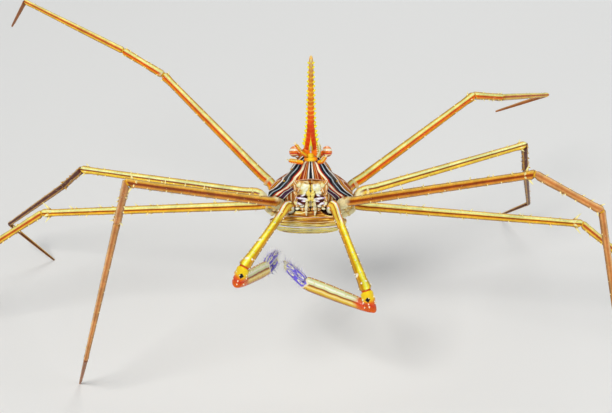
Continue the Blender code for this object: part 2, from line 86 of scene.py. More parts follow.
# Tail flap: u, half width, v of the edge, depth of the dome
ABDOMEN_STATIONS = (
    (2.5, 3.0, -3.9, 0.3), (3.2, 4.6, -3.9, 0.65), (4.2, 5.6, -3.9, 1.0), (5.4, 6.2, -3.9, 1.25),
    (6.6, 6.6, -3.9, 1.35), (7.6, 6.5, -3.9, 1.25), (8.4, 5.0, -3.9, 0.9), (8.9, 3.2, -3.85, 0.6),
    (9.4, 2.1, -3.3, 0.5),
)
ABDOMEN_SIDE_SHIFT = -0.4
ABDOMEN_SEAMS = (3.3, 4.3, 5.4, 6.5, 7.6, 8.5)
# Beak: its base, how far it lifts from the shell, and reach, half width, half depth
ROSTRUM_BASE = (18.7, 3.9)
ROSTRUM_LIFT = 12.0
ROSTRUM_STATIONS = (
    (0.0, 1.12, 0.62), (1.2, 1.1, 0.74), (3.0, 0.88, 0.68), (6.0, 0.62, 0.56), (11.0, 0.5, 0.48),
    (16.0, 0.41, 0.4), (20.4, 0.31, 0.3), (21.4, 0.16, 0.15),
)
EYE_ROOT = (17.25, 3.55, 1.95)
EYE_AXIS = (0.55, 0.06, 0.83)
EYE_RADIUS = 0.94
EYE_CENTRE = 0.98
EYE_STALK = 0.46
# Feelers, as paths of body points
ANTENNA_PATHS = {
    RIGHT: ((17.2, 1.85, 1.3), (17.5, 1.8, 2.3), (18.0, 1.75, 3.6)),
    LEFT: ((17.2, 1.85, 1.3), (17.7, 1.8, 2.0), (18.6, 2.1, 2.5)),
}
ANTENNA_RADII = (0.36, 0.38, 0.28)
ANTENNULE_PATHS = {
    RIGHT: ((18.3, 2.5, 0.75), (19.4, 2.6, 1.6), (20.8, 3.2, 2.5)),
    LEFT: ((18.3, 2.4, 1.2), (19.4, 2.5, 1.4), (21.4, 2.95, 1.3)),
}
ANTENNULE_RADII = (0.32, 0.32, 0.26)
# The mouth field: its lower end and its slope in degrees
FACE_ORIGIN = (9.9, -2.7)
FACE_SLOPE = 35.8

# Lengths of the segments from the hip out, claw leg first
LENGTHS = {
    1: (18.7, 3.6, 12.3, 7.0), 2: (43.0, 11.5, 36.0, 15.0), 3: (40.0, 10.5, 32.0, 13.5),
    4: (34.5, 9.0, 26.0, 12.5), 5: (31.0, 8.5, 21.5, 10.5),
}
# Where each limb leaves the body, and the path of its hip piece inside
HIPS = {
    1: (11.0, -3.0, 3.85), 2: (9.8, -1.9, 5.6), 3: (6.2, -0.5, 6.4), 4: (4.8, 2.0, 6.6),
    5: (2.8, 3.1, 5.0),
}
COXAE = {
    1: ((8.6, -2.8, 3.3),), 2: ((7.2, -1.6, 4.95),), 3: ((5.2, -1.2, 4.7),),
    4: ((3.5, -1.2, 4.7), (4.0, -0.3, 7.0)), 5: ((1.7, -1.0, 4.2), (2.0, 0.4, 6.0)),
}
# How far past the hip the long segment starts
SHOULDER = {1: 0.0, 2: 0.0, 3: 0.0, 4: 2.3, 5: 2.4}
# Heading of each segment: turned out from straight ahead and up, in degrees; None ends on the floor
POSE = {
    (1, RIGHT): ((21.4, -2.4), (113, -71), (-158, -21), (-164, -13)),
    (1, LEFT): ((16.5, -17.3), (106, -78), (-120, 3), (-146, 3)),
    (2, RIGHT): ((35, 31), (152, -61), (138, -69), (160, None)),
    (2, LEFT): ((47, 29), (80, -27), (100, -77), (100, None)),
    (3, RIGHT): ((88.5, -1.5), (87, -34), (86, -28), (86, None)),
    (3, LEFT): ((80.5, 0.5), (88, -41), (92, -28), (92, None)),
    (4, RIGHT): ((100, 3), (137, -44), (134, -41), (-103, None)),
    (4, LEFT): ((111, 5.3), (164, -57), (166, -46), (-152, None)),
    (5, RIGHT): ((127, 30), (111, 24), (116, 15), (144, -47)),
    (5, LEFT): ((121, 23), (133, -22), (145, -22), (-87, -19)),
}

# Radii of the segments at their start, middle and end
COXA_RADIUS = 0.72
HIP_RADIUS = 0.85
MERUS_RADII = (0.8, 0.72, 0.62)
CARPUS_RADII = (0.6, 0.56, 0.6)
PROPODUS_RADII = (0.52, 0.5, 0.4)
DACTYLUS_RADII = (0.36, 0.32, 0.24)
FOOT_RADIUS = 0.17
# How far along a segment the slant of its cut end fades out
JOINT_REACH = 2.4
ARM_RADII = (0.74, 0.7, 0.88)
WRIST_RADII = (0.95, 1.15, 0.95)
# Palm and finger: reach from the wrist, offset, half height, half thickness
PALM_STATIONS = (
    (0.0, 0.0, 0.8, 0.72), (1.8, 0.0, 1.05, 0.9), (6.0, 0.0, 1.25, 1.0), (10.0, 0.0, 1.32, 1.02),
    (11.9, 0.0, 1.22, 0.94), (12.4, -0.64, 0.5, 0.66), (15.2, -0.64, 0.5, 0.6),
    (17.5, -0.52, 0.4, 0.46), (18.4, -0.38, 0.22, 0.26),
)
FINGER_STATIONS = (
    (12.3, 0.62, 0.44, 0.58), (13.2, 0.7, 0.52, 0.64), (15.4, 0.68, 0.52, 0.58),
    (17.6, 0.52, 0.4, 0.44), (18.6, 0.38, 0.22, 0.25),
)

# Camera, from the middle of the thorax, and the width of the view in lens lengths
CAMERA_FROM_THORAX = (-0.78, -214.12, 132.88)
CAMERA_TILT = 58.0
FRAME_PIXELS = 612
LENS_PIXELS = 1456.0
SENSOR_WIDTH = 36.0

PITCH = math.radians(BODY_PITCH)
AXIS_U = Vector((0.0, -math.cos(PITCH), math.sin(PITCH)))
AXIS_V = Vector((0.0, math.sin(PITCH), math.cos(PITCH)))
UP = Vector((0.0, 0.0, 1.0))
# The side of every limb that faces forward and up, towards the camera and the key light; its stripes are
# counted from here, and the pale ones on its upper half are partly a painted highlight
LIMB_FACE = Vector((0.0, -0.848, 0.53))
# Up across the eyes, square to that side; the bands of the eyes are counted along it
EYE_UP = Vector((0.0, 0.53, 0.848))
SEED = 11

# Rings of a spine and of a seta: reach along it, share of its radius
SPINE_STEPS = ((-0.25, 1.35), (0.0, 1.05), (0.22, 0.74), (0.5, 0.5), (0.8, 0.25))
HAIR_STEPS = ((-0.08, 1.0), (0.35, 0.8), (0.72, 0.5))
# Half width of a seta's own spot on the map
HAIR_PATCH = 0.0015

# Lobes of the mouth: reach along the face, distance out, lift, half width, half height, half thickness,
# turn in degrees, kind (0 cream, 1 yellow, 2 lilac bar, 3 brown plate)
MOUTH_LOBES = (
    (4.1, 1.02, 0.92, 0.8, 0.88, 0.5, 14, 0.0), (3.2, 1.3, 0.92, 0.62, 0.42, 0.4, -20, 0.0),
    (4.4, 1.95, 0.7, 0.46, 0.5, 0.34, -30, 0.0), (3.55, 2.0, 0.72, 0.4, 0.52, 0.34, 24, 3.0),
    (2.95, 0.36, 1.1, 0.34, 0.66, 0.36, -8, 1.0), (4.05, 0.28, 0.9, 0.24, 0.6, 0.3, 0, 1.0),
    (1.95, 0.3, 1.05, 0.3, 0.5, 0.3, 6, 1.0), (2.72, 1.3, 1.2, 0.42, 0.13, 0.22, -24, 2.0),
    (2.15, 1.45, 1.22, 1.0, 0.17, 0.24, 8, 2.0), (1.62, 1.1, 1.15, 0.5, 0.13, 0.22, -6, 2.0),
    (1.72, 0.66, 1.25, 0.24, 0.24, 0.2, 0, 0.0), (0.95, 1.85, 0.85, 0.55, 0.17, 0.25, 24, 2.0),
    (4.7, 2.45, 0.45, 0.4, 0.55, 0.3, -35, 3.0), (3.75, 2.6, 0.5, 0.32, 0.62, 0.32, -6, 3.0),
    (2.75, 2.55, 0.6, 0.32, 0.55, 0.32, -28, 3.0), (1.8, 2.55, 0.6, 0.4, 0.5, 0.32, 20, 3.0),
    (0.95, 2.45, 0.55, 0.42, 0.42, 0.3, -12, 0.0), (0.45, 2.3, 0.5, 0.5, 0.24, 0.26, 12, 3.0),
    (0.75, 0.45, 0.8, 0.3, 0.42, 0.26, 0, 1.0), (0.35, 1.45, 0.5, 0.42, 0.24, 0.25, -8, 0.0),
    (-0.3, 0.45, 0.35, 0.42, 0.28, 0.22, 4, 3.0), (-0.3, 1.35, 0.35, 0.46, 0.3, 0.22, -6, 3.0),
    (-0.2, 2.2, 0.32, 0.4, 0.26, 0.22, -14, 0.0),
)
# The plate behind the lobes: lowest and highest reach, inner and outer edge, lift at rim and middle
MOUTH_BACKING = (0.35, 4.85, 0.18, 2.6, 0.35, 0.62)
# The hanging palp: reach, distance out, lift
MOUTH_PALP = ((1.5, 0.62, 1.15), (0.6, 0.74, 1.3), (-0.1, 0.78, 1.25), (-1.15, 0.7, 1.1))
# Up along the slanting flank of the shell
FLANK_SLANT = AXIS_U * 0.455 + AXIS_V * 0.892

# Points across half of a shell ring, and rings along the shell
SHELL_ARC_STEPS = 26
SHELL_SIDE_STEPS = 12
SHELL_UNDER_STEPS = 12
SHELL_ROWS = 84
# Spines in pairs: u, lane, height, radius; and along the middle: u, height
SHELL_SPINES = (
    (15.9, 0.4, 0.55, 0.2), (14.0, 0.46, 0.5, 0.2), (11.2, 0.47, 0.45, 0.2), (7.4, 0.42, 0.55, 0.22),
    (5.0, 0.3, 0.5, 0.2), (3.2, 0.33, 0.35, 0.16), (12.6, 0.2, 0.35, 0.16), (6.2, 0.16, 0.35, 0.16),
)
MIDLINE_SPINES = ((12.8, 0.45), (7.6, 0.5), (4.0, 0.35))
# Seams between the plates of the underside, at u
STERNUM_SEAMS = (2.1, 3.7, 5.3, 6.9)
STERNUM_ROWS = 44
# Half of the sternum's outline from the rim to the middle: share of the half width, share of the depth
STERNUM_PROFILE = (
    (1.0, 0.0), (1.0, 0.35), (0.99, 0.7), (0.93, 0.9), (0.8, 1.0), (0.55, 1.0), (0.28, 1.0),
    (0.0, 0.97),
)
ABDOMEN_ROWS = 80
ABDOMEN_ARC_STEPS = 48
# The beak: rings, points around a ring, and its pairs of beads along both sides
ROSTRUM_ROWS = 110
ROSTRUM_SIDES = 28
ROSTRUM_SPINES = 19
ROSTRUM_SPINE_FIRST = 1.0
ROSTRUM_SPINE_PITCH = 1.06

# Skins of the four segments of each leg
LEG_SKINS = {
    2: ("tan", "tan_end", "tan_end", "hook"), 3: ("double", "rosy", "rosy", "rosy"),
    4: ("lined", "dark", "dark", "dark"), 5: ("raised", "raised", "rosy", "hook"),
}
# Cream ovals along a finger: spacing and half length, and half width in degrees
OVAL_PERIOD = 2.9
OVAL_HALF_LENGTH = 1.15
OVAL_HALF_TURN = 21.0
# Spines on the first long segment: turn around it, number, height
SPINE_ROWS = {
    2: ((58, 8, 0.66), (-48, 8, 0.5), (110, 9, 0.45), (-110, 9, 0.35), (175, 8, 0.35)),
    3: ((64, 8, 0.72), (-60, 8, 0.6), (112, 9, 0.45), (-112, 9, 0.38), (175, 8, 0.35)),
    4: ((64, 8, 0.46), (-60, 7, 0.38), (115, 7, 0.3), (-115, 7, 0.28), (180, 6, 0.28)),
    5: ((64, 6, 0.42), (-60, 6, 0.36), (115, 6, 0.28), (-115, 6, 0.26), (180, 5, 0.26)),
}
# Height and root radius of the spines at the knee
KNEE_SPINES = {2: (1.2, 0.28), 3: (1.55, 0.32), 4: (0.85, 0.25), 5: (0.8, 0.24)}
# The raised legs are a little stouter than the others
RAISED_STOUTNESS = 1.1


# Plain geometry


def thorax_point(u, v, w):
    """A body point before the whole body is moved to where the solids stand."""
    return AXIS_U * (u - THORAX_U) + AXIS_V * v + Vector((w, 0.0, THORAX_HEIGHT))


def solid_shell_ring(row):
    """The ring of the solid shell at one station, used to find where the solids stand."""
    u, wide, top, middle, below, bottom = row
    ring = []
    for step in range(13):
        angle = math.pi * step / 12
        across = math.copysign(abs(math.cos(angle)) ** 0.9, math.cos(angle)) * wide
        ring.append(thorax_point(u, middle + (top - middle) * math.sin(angle), across))
    ring.append(thorax_point(u, bottom, below))
    return ring


def stand_shift():
    """Where the solids stand, read from the frame's box of the shell."""
    points = [point for row in CARAPACE_STATIONS for point in solid_shell_ring(row)]
    low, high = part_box("carapace")
    across = (low.x + high.x) / 2.0 / MM
    back = low.y / MM - min(point.y for point in points)
    up = high.z / MM - max(point.z for point in points)
    return Vector((across, back, up))


SHIFT = stand_shift()


def body_point(u, v, w):
    return thorax_point(u, v, w) + SHIFT


def body_direction(u, v, w):
    return (AXIS_U * u + AXIS_V * v + Vector((w, 0.0, 0.0))).normalized()


def heading_direction(heading, rise, side):
    """Direction of a segment: turned out from straight ahead, and up, in degrees."""
    out, up = math.radians(heading), math.radians(rise)
    flat = math.cos(up)
    return Vector((side * math.sin(out) * flat, -math.cos(out) * flat, math.sin(up)))


def square_to(direction, along):
    return (direction - along * direction.dot(along)).normalized()


def smooth_step(low, high, value):
    share = min(1.0, max(0.0, (value - low) / (high - low)))
    return share * share * (3.0 - 2.0 * share)


def bump(value, centre, width):
    return math.exp(-((value - centre) / width) ** 2)


def station_at(table, reach):
    """Values of a station table at a reach, on a smooth curve through its rows."""
    last = len(table) - 1
    row = 0
    while row < last - 1 and reach > table[row + 1][0]:
        row += 1
    low, high = table[row], table[row + 1]
    before, after = table[max(row - 1, 0)], table[min(row + 2, last)]
    span = high[0] - low[0]
    share = min(1.0, max(0.0, (reach - low[0]) / span))
    values = []
    for column in range(1, len(low)):
        start_slope = (high[column] - before[column]) / max(high[0] - before[0], 1e-6)
        end_slope = (after[column] - low[column]) / max(after[0] - low[0], 1e-6)
        rise = high[column] - low[column]
        start_slope = limit_slope(start_slope * span, rise)
        end_slope = limit_slope(end_slope * span, rise)
        square, cube = share * share, share ** 3
        values.append(low[column] * (2 * cube - 3 * square + 1) + start_slope * (cube - 2 * square + share)
                      + high[column] * (3 * square - 2 * cube) + end_slope * (cube - square))
    return values


def rows_along(table, rows):
    """Evenly spaced reaches over a station table, each with the table's values there."""
    first, last = table[0][0], table[-1][0]
    for row in range(rows + 1):
        reach = first + (last - first) * row / rows
        yield reach, station_at(table, reach)


def turns(sides, start=0.5):
    """Turn, cosine and sine of evenly spaced points around a ring."""
    for step in range(sides):
        turn = 2.0 * math.pi * (step + start) / sides
        yield turn, math.cos(turn), math.sin(turn)


def limit_slope(slope, rise):
    """Keeps a curve between two stations from swinging past either of them."""
    if slope * rise <= 0.0:
        return 0.0
    return math.copysign(min(abs(slope), 3.0 * abs(rise)), rise)


def leg_joints(number, side):
    """Hip, knee and the joints after it; the last one is the tip of the leg."""
    u, v, w = HIPS[number]
    joints = [body_point(u, v, side * w)]
    for length, (heading, rise) in zip(LENGTHS[number], POSE[(number, side)]):
        if rise is None:
            rise = -math.degrees(math.asin(min(1.0, (joints[-1].z - SHIFT.z) / length)))
        joints.append(joints[-1] + heading_direction(heading, rise, side) * length)
    return joints


def mitre(joints, index):
    """Normal of the cut between two segments of a limb."""
    before = (joints[index] - joints[index - 1]).normalized()
    after = (joints[index + 1] - joints[index]).normalized()
    return (before + after).normalized()


def span_points(start, end, reaches):
    """Points at reaches along a span; a negative reach counts from its end."""
    along = (end - start).normalized()
    length = (end - start).length
    return [start + along * (reach if reach >= 0 else length + reach) for reach in reaches]


# Forms: points and faces of one piece


class Form:
    """Points and faces of one piece, with each point's place on it and how far out a spine it is."""

    def __init__(self):
        self.points, self.faces, self.place, self.tip, self.patch = [], [], [], [], []

    def add(self, point, place=(0.0, 0.0, 0.0), tip=0.0, patch=(0.0, 0.0)):
        self.points.append(Vector(point))
        self.place.append(place)
        self.tip.append(tip)
        self.patch.append(patch)
        return len(self.points) - 1

    def tube(self, rings):
        """Faces between rings, one after the other."""
        for low, high in zip(rings, rings[1:]):
            for step in range(len(low)):
                after = (step + 1) % len(low)
                self.faces.append((low[step], low[after], high[after], high[step]))

    def fan(self, ring, end):
        for step in range(len(ring)):
            self.faces.append((ring[step], ring[(step + 1) % len(ring)], end))

    def close(self, ring, push=None, inset=0.55):
        """Ends a ring with a smaller ring and a fan, pushed in or out."""
        middle = sum((self.points[index] for index in ring), Vector()) / len(ring)
        shift = push or Vector()
        inner = [self.add(middle + (self.points[index] - middle) * inset + shift, self.place[index],
                          self.tip[index], self.patch[index]) for index in ring]
        self.tube((ring, inner))
        self.fan(inner, self.add(middle + shift * 1.2, self.place[ring[0]], self.tip[ring[0]],
                                 self.patch[ring[0]]))

    def skin(self, rings, first=None, last=None, inset=0.55):
        """Faces over rings, closed at both ends, with each end pushed in or out."""
        self.tube(rings)
        self.close(rings[0], first, inset)
        self.close(rings[-1], last, inset)

    def spike(self, root, direction, height, radius, place=(0.0, 0.0, 0.0), bend=None, sides=6,
              steps=SPINE_STEPS, patch=(0.0, 0.0)):
        """A curved spine or seta in tapering rings, sunk a little into what it grows from."""
        along = direction.normalized()
        across = along.orthogonal().normalized()
        other = along.cross(across)
        curve = bend or Vector()
        rings = []
        for reach, size in steps:
            centre = root + along * (height * reach) + curve * (max(reach, 0.0) ** 2 * height)
            spread = HAIR_PATCH * (1.0 - reach)
            rings.append([self.add(centre + (across * cosine + other * sine) * (radius * size), place,
                                   max(reach, 0.0), (patch[0] + cosine * spread, patch[1] + sine * spread))
                          for _, cosine, sine in turns(sides, 0.0)])
        self.tube(rings)
        self.faces.append(tuple(reversed(rings[0])))
        self.fan(rings[-1], self.add(root + (along + curve) * height, place, 1.0, patch))

    def ball(self, centre, radii, axes, place=(0.0, 0.0, 0.0), tip=0.0, rows=10, sides=16, places=None):
        """A closed egg on three axes; places may give each point's place from its direction."""
        rings = []
        for row in range(rows + 1):
            angle = math.pi * row / rows
            flat, tall = math.sin(angle), math.cos(angle)
            ring = []
            for _, cosine, sine in turns(1 if row in (0, rows) else sides, 0.0):
                way = (flat * cosine, flat * sine, tall)
                offset = sum((axes[axis] * (radii[axis] * way[axis]) for axis in range(3)), Vector())
                ring.append(self.add(centre + offset, places(offset, way) if places else place, tip))
            rings.append(ring)
        self.tube(rings[1:-1])
        self.fan(rings[1], rings[0][0])
        self.fan(rings[-2], rings[-1][0])


def make_piece(name, form, material, ending="_skin", hairs=False):
    """Makes the mesh object of a form, in metres, and ties it to the frame; a skin replaces its solid."""
    title = name if hairs else name + ending
    mesh = bpy.data.meshes.new(title)
    mesh.from_pydata([point * MM for point in form.points], [], form.faces)
    work = bmesh.new()
    work.from_mesh(mesh)
    bmesh.ops.recalc_face_normals(work, faces=work.faces)
    work.to_mesh(mesh)
    work.free()
    place = mesh.attributes.new("place", "FLOAT_VECTOR", "POINT")
    place.data.foreach_set("vector", [value for item in form.place for value in item])
    tip = mesh.attributes.new("tip", "FLOAT", "POINT")
    tip.data.foreach_set("value", form.tip)
    if hairs:
        layer = mesh.uv_layers.new(name="OFBake")
        for loop in mesh.loops:
            layer.data[loop.index].uv = form.patch[loop.vertex_index]
    mesh.polygons.foreach_set("use_smooth", [True] * len(mesh.polygons))
    mesh.materials.append(material)
    piece = bpy.data.objects.new(title, mesh)
    bpy.context.scene.collection.objects.link(piece)
    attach(piece, BODY)
    if not hairs:
        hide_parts(name)


# Limbs


def hermite(path, radii, pace):
    """Points, radii and directions along a smooth curve through a path, about pace apart."""
    spans = [(path[i + 1] - path[i]) for i in range(len(path) - 1)]
    ways = []
    for index in range(len(path)):
        before = spans[max(index - 1, 0)].normalized()
        after = spans[min(index, len(spans) - 1)].normalized()
        ways.append((before + after).normalized())
    ways[0], ways[-1] = spans[0].normalized(), spans[-1].normalized()
    stations = []
    for index, span in enumerate(spans):
        count = max(2, int(span.length / pace + 0.5))
        for step in range(count + (index == len(spans) - 1)):
            share = step / count
            square, cube = share * share, share ** 3
            point = (path[index] * (2 * cube - 3 * square + 1) + path[index + 1] * (3 * square - 2 * cube)
                     + ways[index] * (span.length * (cube - 2 * square + share))
                     + ways[index + 1] * (span.length * (cube - square)))
            radius = radii[index] + (radii[index + 1] - radii[index]) * share
            stations.append([point, radius])
    for index, station in enumerate(stations):
        before = stations[max(index - 1, 0)][0]
        after = stations[min(index + 1, len(stations) - 1)][0]
        station.append((after - before).normalized())
    return stations


def limb_frame(along):
    """The forward face of a limb and the direction up across it, both square to the limb."""
    face = square_to(LIMB_FACE, along)
    upper = along.cross(face)
    return face, upper if upper.z > 0.0 else -upper


def limb(form, path, radii, sides=20, pace=0.7, first_normal=None, last_normal=None, gap=SHELL_GAP / 2.0,
         first_gap=None, collars=(0.09, 0.09), ripple=0.02, start_reach=0.0, last_push=0.12):
    """A dense tube along a path: mitred ends, raised collars at the joints, a slight ripple."""
    stations = hermite(path, radii, pace)
    length = sum((after[0] - before[0]).length for before, after in zip(stations, stations[1:]))
    stations = close_ends(stations, (0.12, 0.35, 0.6))
    rings, reach, previous = [], 0.0, stations[0][0]
    for point, radius, along in stations:
        reach += (point - previous).length
        previous = point
        face, upper = limb_frame(along)
        left_over = length - reach
        swell = 1.0 + collars[0] * bump(reach, 0.55, 0.45) + collars[1] * bump(left_over, 0.55, 0.5)
        swell *= 1.0 - 0.16 * bump(reach, 0.0, 0.16) - 0.16 * bump(left_over, 0.0, 0.16)
        ring = []
        for turn, cosine, sine in turns(sides):
            wave = noise.noise(point * 0.35 + Vector((cosine, sine, 0.0)))
            offset = (face * cosine + upper * sine) * (
                radius * swell * (1.0 + ripple * wave + 0.018 * math.cos(3.0 * turn)))
            slide = 0.0
            if first_normal is not None:
                fade = 1.0 - smooth_step(0.0, JOINT_REACH, reach)
                start = gap if first_gap is None else first_gap
                slide += fade * (start - offset.dot(first_normal)) / along.dot(first_normal)
            if last_normal is not None:
                fade = 1.0 - smooth_step(0.0, JOINT_REACH, left_over)
                slide += fade * (-gap - offset.dot(last_normal)) / along.dot(last_normal)
            ring.append(form.add(point + offset + along * slide, (cosine, sine, start_reach + reach)))
        rings.append(ring)
    form.skin(rings, stations[0][2] * 0.12, stations[-1][2] * -last_push)


def close_ends(stations, shares):
    """Adds stations near both ends, so that a collar and its edge are well formed."""
    def between(end, inner, share):
        return [end[0].lerp(inner[0], share), end[1] + (inner[1] - end[1]) * share, end[2]]

    opening = [between(stations[0], stations[1], share) for share in shares]
    closing = [between(stations[-1], stations[-2], share) for share in reversed(shares)]
    return [stations[0]] + opening + stations[1:-1] + closing + [stations[-1]]


def on_limb(start, end, share, radius, turn, side_lift=0.0):
    """Point on the skin of a straight limb, its outward direction and its place."""
    along = (end - start).normalized()
    face, upper = limb_frame(along)
    angle = math.radians(turn)
    out = face * math.cos(angle) + upper * math.sin(angle)
    point = start + (end - start) * share + out * (radius - side_lift)
    place = (math.cos(angle), math.sin(angle), (end - start).length * share)
    return point, out, along, place


def spine_row(form, start, end, radii, turn, count, height, root, lean=0.5, spread=(0.05, 0.95),
              jitter=8.0):
    """A row of spines of uneven size along a segment, at one turn around it."""
    for index in range(count):
        share = spread[0] + (spread[1] - spread[0]) * (index + random.uniform(0.1, 0.9)) / count
        radius = radii[0] + (radii[-1] - radii[0]) * share
        around = turn + random.uniform(-jitter, jitter)
        point, out, along, place = on_limb(start, end, share, radius, around, 0.05)
        size = random.uniform(0.55, 1.25) if count > 2 else random.uniform(0.9, 1.1)
        form.spike(point, out + along * lean, height * size, root * (0.55 + 0.45 * size), place,
                   bend=along * random.uniform(0.15, 0.3))


def spine_rows(form, start, end, radii, rows, height, root, **options):
    """Rows of spines around a segment, each row (turn, number)."""
    for turn, count in rows:
        spine_row(form, start, end, radii, turn, count, height, root, **options)


def joint_ball(form, joints, index, radius):
    """The soft membrane and knuckle seen in the seam between two segments."""
    along = (joints[index + 1] - joints[index]).normalized()
    face, upper = limb_frame(along)
    form.ball(joints[index], (radius, radius, radius * 0.8), (face, upper, along), (1.0, 0.0, 0.0), -1.0,
              8, 16)


# Node trees


def rgba(colour):
    return (*(min(1.0, part) for part in colour[:3]), 1.0)


class Field:
    """A value or colour over the surface. Sums and products of fields are maths nodes."""

    def __init__(self, tree, socket):
        self.tree, self.socket = tree, socket

    def __add__(self, other):
        return self.tree.maths("ADD", self, other)

    def __sub__(self, other):
        return self.tree.maths("SUBTRACT", self, other)

    def __rsub__(self, other):
        return self.tree.maths("SUBTRACT", other, self)

    def __mul__(self, other):
        return self.tree.maths("MULTIPLY", self, other)

    def __truediv__(self, other):
        return self.tree.maths("DIVIDE", self, other)

    def __abs__(self):
        return self.tree.maths("ABSOLUTE", self)

    def step(self, low, high, start=0.0, end=1.0):
        """Runs smoothly from start to end while this value goes from low to high."""
        return self.tree.field("MapRange", self, low, high, start, end,
                               interpolation_type="SMOOTHSTEP")

    def ramp(self, stops):
        """Colours along this value, each stop a (position, colour)."""
        made = self.tree.node("ValToRGB")
        line = made.color_ramp
        for element, (position, colour) in zip(line.elements, (stops[0], stops[-1])):
            element.position, element.color = position, rgba(colour)
        for position, colour in stops[1:-1]:
            line.elements.new(position).color = rgba(colour)
        self.tree.put(made.inputs[0], self)
        return Field(self.tree, made.outputs[0])

    def around(self, stops):
        """Colours around a limb, each stop a (turn in degrees, colour)."""
        return (self / 180.0 + 0.5).ramp([(turn / 180.0 + 0.5, colour) for turn, colour in stops])

    def mix(self, tint, share):
        return self.tree.mix(share, self, tint)

    def fade(self, tint, value, low, high, start=0.0, end=1.0):
        """This colour, turning to a tint while a value goes from low to high."""
        return self.mix(tint, value.step(low, high, start, end))

    def lines(self, place, lines, wobble=0.0):
        """Pigment lines over this colour, each (centre, half width, colour, strength)."""
        painted = self
        for centre, half, colour, strength in lines:
            mask = self.tree.group(line_group(), Place=place, Centre=centre, Half_Width=half * 0.8,
                                   Softness=half * 0.5, Wobble=wobble)[0]
            painted = painted.mix(colour, mask * strength)
        return painted

    def toned(self, factor):
        """This colour made lighter or darker by a factor."""
        scale = self.tree.node("VectorMath", operation="SCALE")
        return self.tree.outputs(scale, Vector=self, Scale=factor)[0]

    def mottled(self):
        return self.toned(self.tree.skin[2].step(0.3, 0.7, 0.85, 1.15))


class Tree:
    """Short words for the nodes of a material or group."""

    def __init__(self, tree):
        self.tree = tree

    def node(self, kind, **settings):
        made = self.tree.nodes.new("ShaderNode" + kind)
        for key, value in settings.items():
            setattr(made, key, value)
        return made

    def put(self, socket, value):
        if isinstance(value, Field):
            self.tree.links.new(value.socket, socket)
        else:
            socket.default_value = rgba(value) if socket.type == "RGBA" else value

    def field(self, kind, *values, output=0, **settings):
        """An output of a new node whose first inputs take the values."""
        made = self.node(kind, **settings)
        for socket, value in zip(made.inputs, values):
            self.put(socket, value)
        return Field(self, made.outputs[output])

    def outputs(self, made, **values):
        """All outputs of a node whose named inputs take the values."""
        for key, value in values.items():
            self.put(made.inputs[key.replace("_", " ")], value)
        return [Field(self, socket) for socket in made.outputs]

    def maths(self, operation, *values):
        return self.field("Math", *values, operation=operation)

    def mix(self, share, first, second):
        made = self.node("Mix", data_type="RGBA")
        for index, value in ((0, share), (6, first), (7, second)):
            self.put(made.inputs[index], value)
        return Field(self, made.outputs[2])

    def attribute(self, name, output="Vector"):
        return self.field("Attribute", output=output, attribute_name=name)

    def parts(self, vector):
        return self.outputs(self.node("SeparateXYZ"), Vector=vector)

    def place(self):
        return self.parts(self.attribute("place"))

    def texture(self, kind, place, **values):
        return self.outputs(self.node("Tex" + kind), Vector=place, **values)

    def group(self, tree, **values):
        return self.outputs(self.node("Group", node_tree=tree), **values)

    def stretched(self, scale):
        return self.outputs(self.node("Mapping"), Vector=self.here, Scale=scale)[0]

    def wobble(self, scale, amount):
        """A slow wandering from side to side."""
        return (self.texture("Noise", self.here, Scale=scale, Detail=1.0)[0] - 0.5) * amount

    def grain(self, mottle=420.0):
        return self.group(grain_group(), Place=self.here, Mottle_Scale=mottle)

    def dots(self, scale, size):
        return self.group(dot_group(), Place=self.here, Scale=scale, Size=size)

    def tips(self, colour, far, knuckle, end=0.4):
        """Spine tips and the membrane of a joint painted over a skin."""
        return colour.fade(far, self.tip, 0.02, end).fade(knuckle, self.tip, -0.2, -0.8)

    def finish(self, colour, height, strength=0.25, distance=0.00008):
        """Colour, roughness and relief of a skin; gives its material."""
        shader = self.shader.inputs
        rough = shader["Roughness"].default_value
        self.put(shader["Base Color"], colour)
        self.put(shader["Roughness"], self.skin[0].step(0.3, 0.7, max(0.03, rough - 0.08), rough + 0.1))
        relief = self.outputs(self.node("Bump"), Strength=strength, Distance=distance, Height=height)
        self.put(shader["Normal"], relief[0])
        return self.material


def new_group(name, inputs, outputs, fill):
    """A node group with named sockets, made once; fill turns its inputs into its outputs."""
    made = bpy.data.node_groups.get(name)
    if made:
        return made
    made = bpy.data.node_groups.new(name, "ShaderNodeTree")
    for label, value in inputs:
        kind = "NodeSocketVector" if value is None else "NodeSocketFloat"
        socket = made.interface.new_socket(label, in_out="INPUT", socket_type=kind)
        if value is not None:
            socket.default_value = value
    for label in outputs:
        made.interface.new_socket(label, in_out="OUTPUT", socket_type="NodeSocketFloat")
    tree = Tree(made)
    entry, result = made.nodes.new("NodeGroupInput"), made.nodes.new("NodeGroupOutput")
    given = [Field(tree, entry.outputs[label]) for label, _ in inputs]
    for socket, value in zip(result.inputs, fill(tree, *given)):
        tree.put(socket, value)
    return made


def line_group():
    """Mask of one pigment line: 1 on the line, 0 beside it."""
    def fill(tree, place, centre, half, softness, wobble):
        return [abs(place + wobble - centre).step(half, half + softness, 1.0, 0.0)]

    return new_group("Pigment line", (("Place", 0.0), ("Centre", 0.0), ("Half Width", 0.05), ("Softness", 0.02),
                                      ("Wobble", 0.0)), ("Mask",), fill)


def grain_group():
    """Fine shell grain: a colour value, a height for bump and a slow mottle."""
    def fill(tree, place, fine_scale, mottle_scale):
        fine = tree.texture("Noise", place, Scale=fine_scale, Detail=3.0)[0]
        slow = tree.texture("Noise", place, Scale=mottle_scale, Detail=2.0)[0]
        pits = tree.texture("Voronoi", place, Scale=fine_scale)[0]
        return fine, fine * 0.6 + pits * 0.5, slow

    return new_group("Shell grain", (("Place", None), ("Fine Scale", 2600.0), ("Mottle Scale", 420.0)),
                     ("Grain", "Height", "Mottle"), fill)


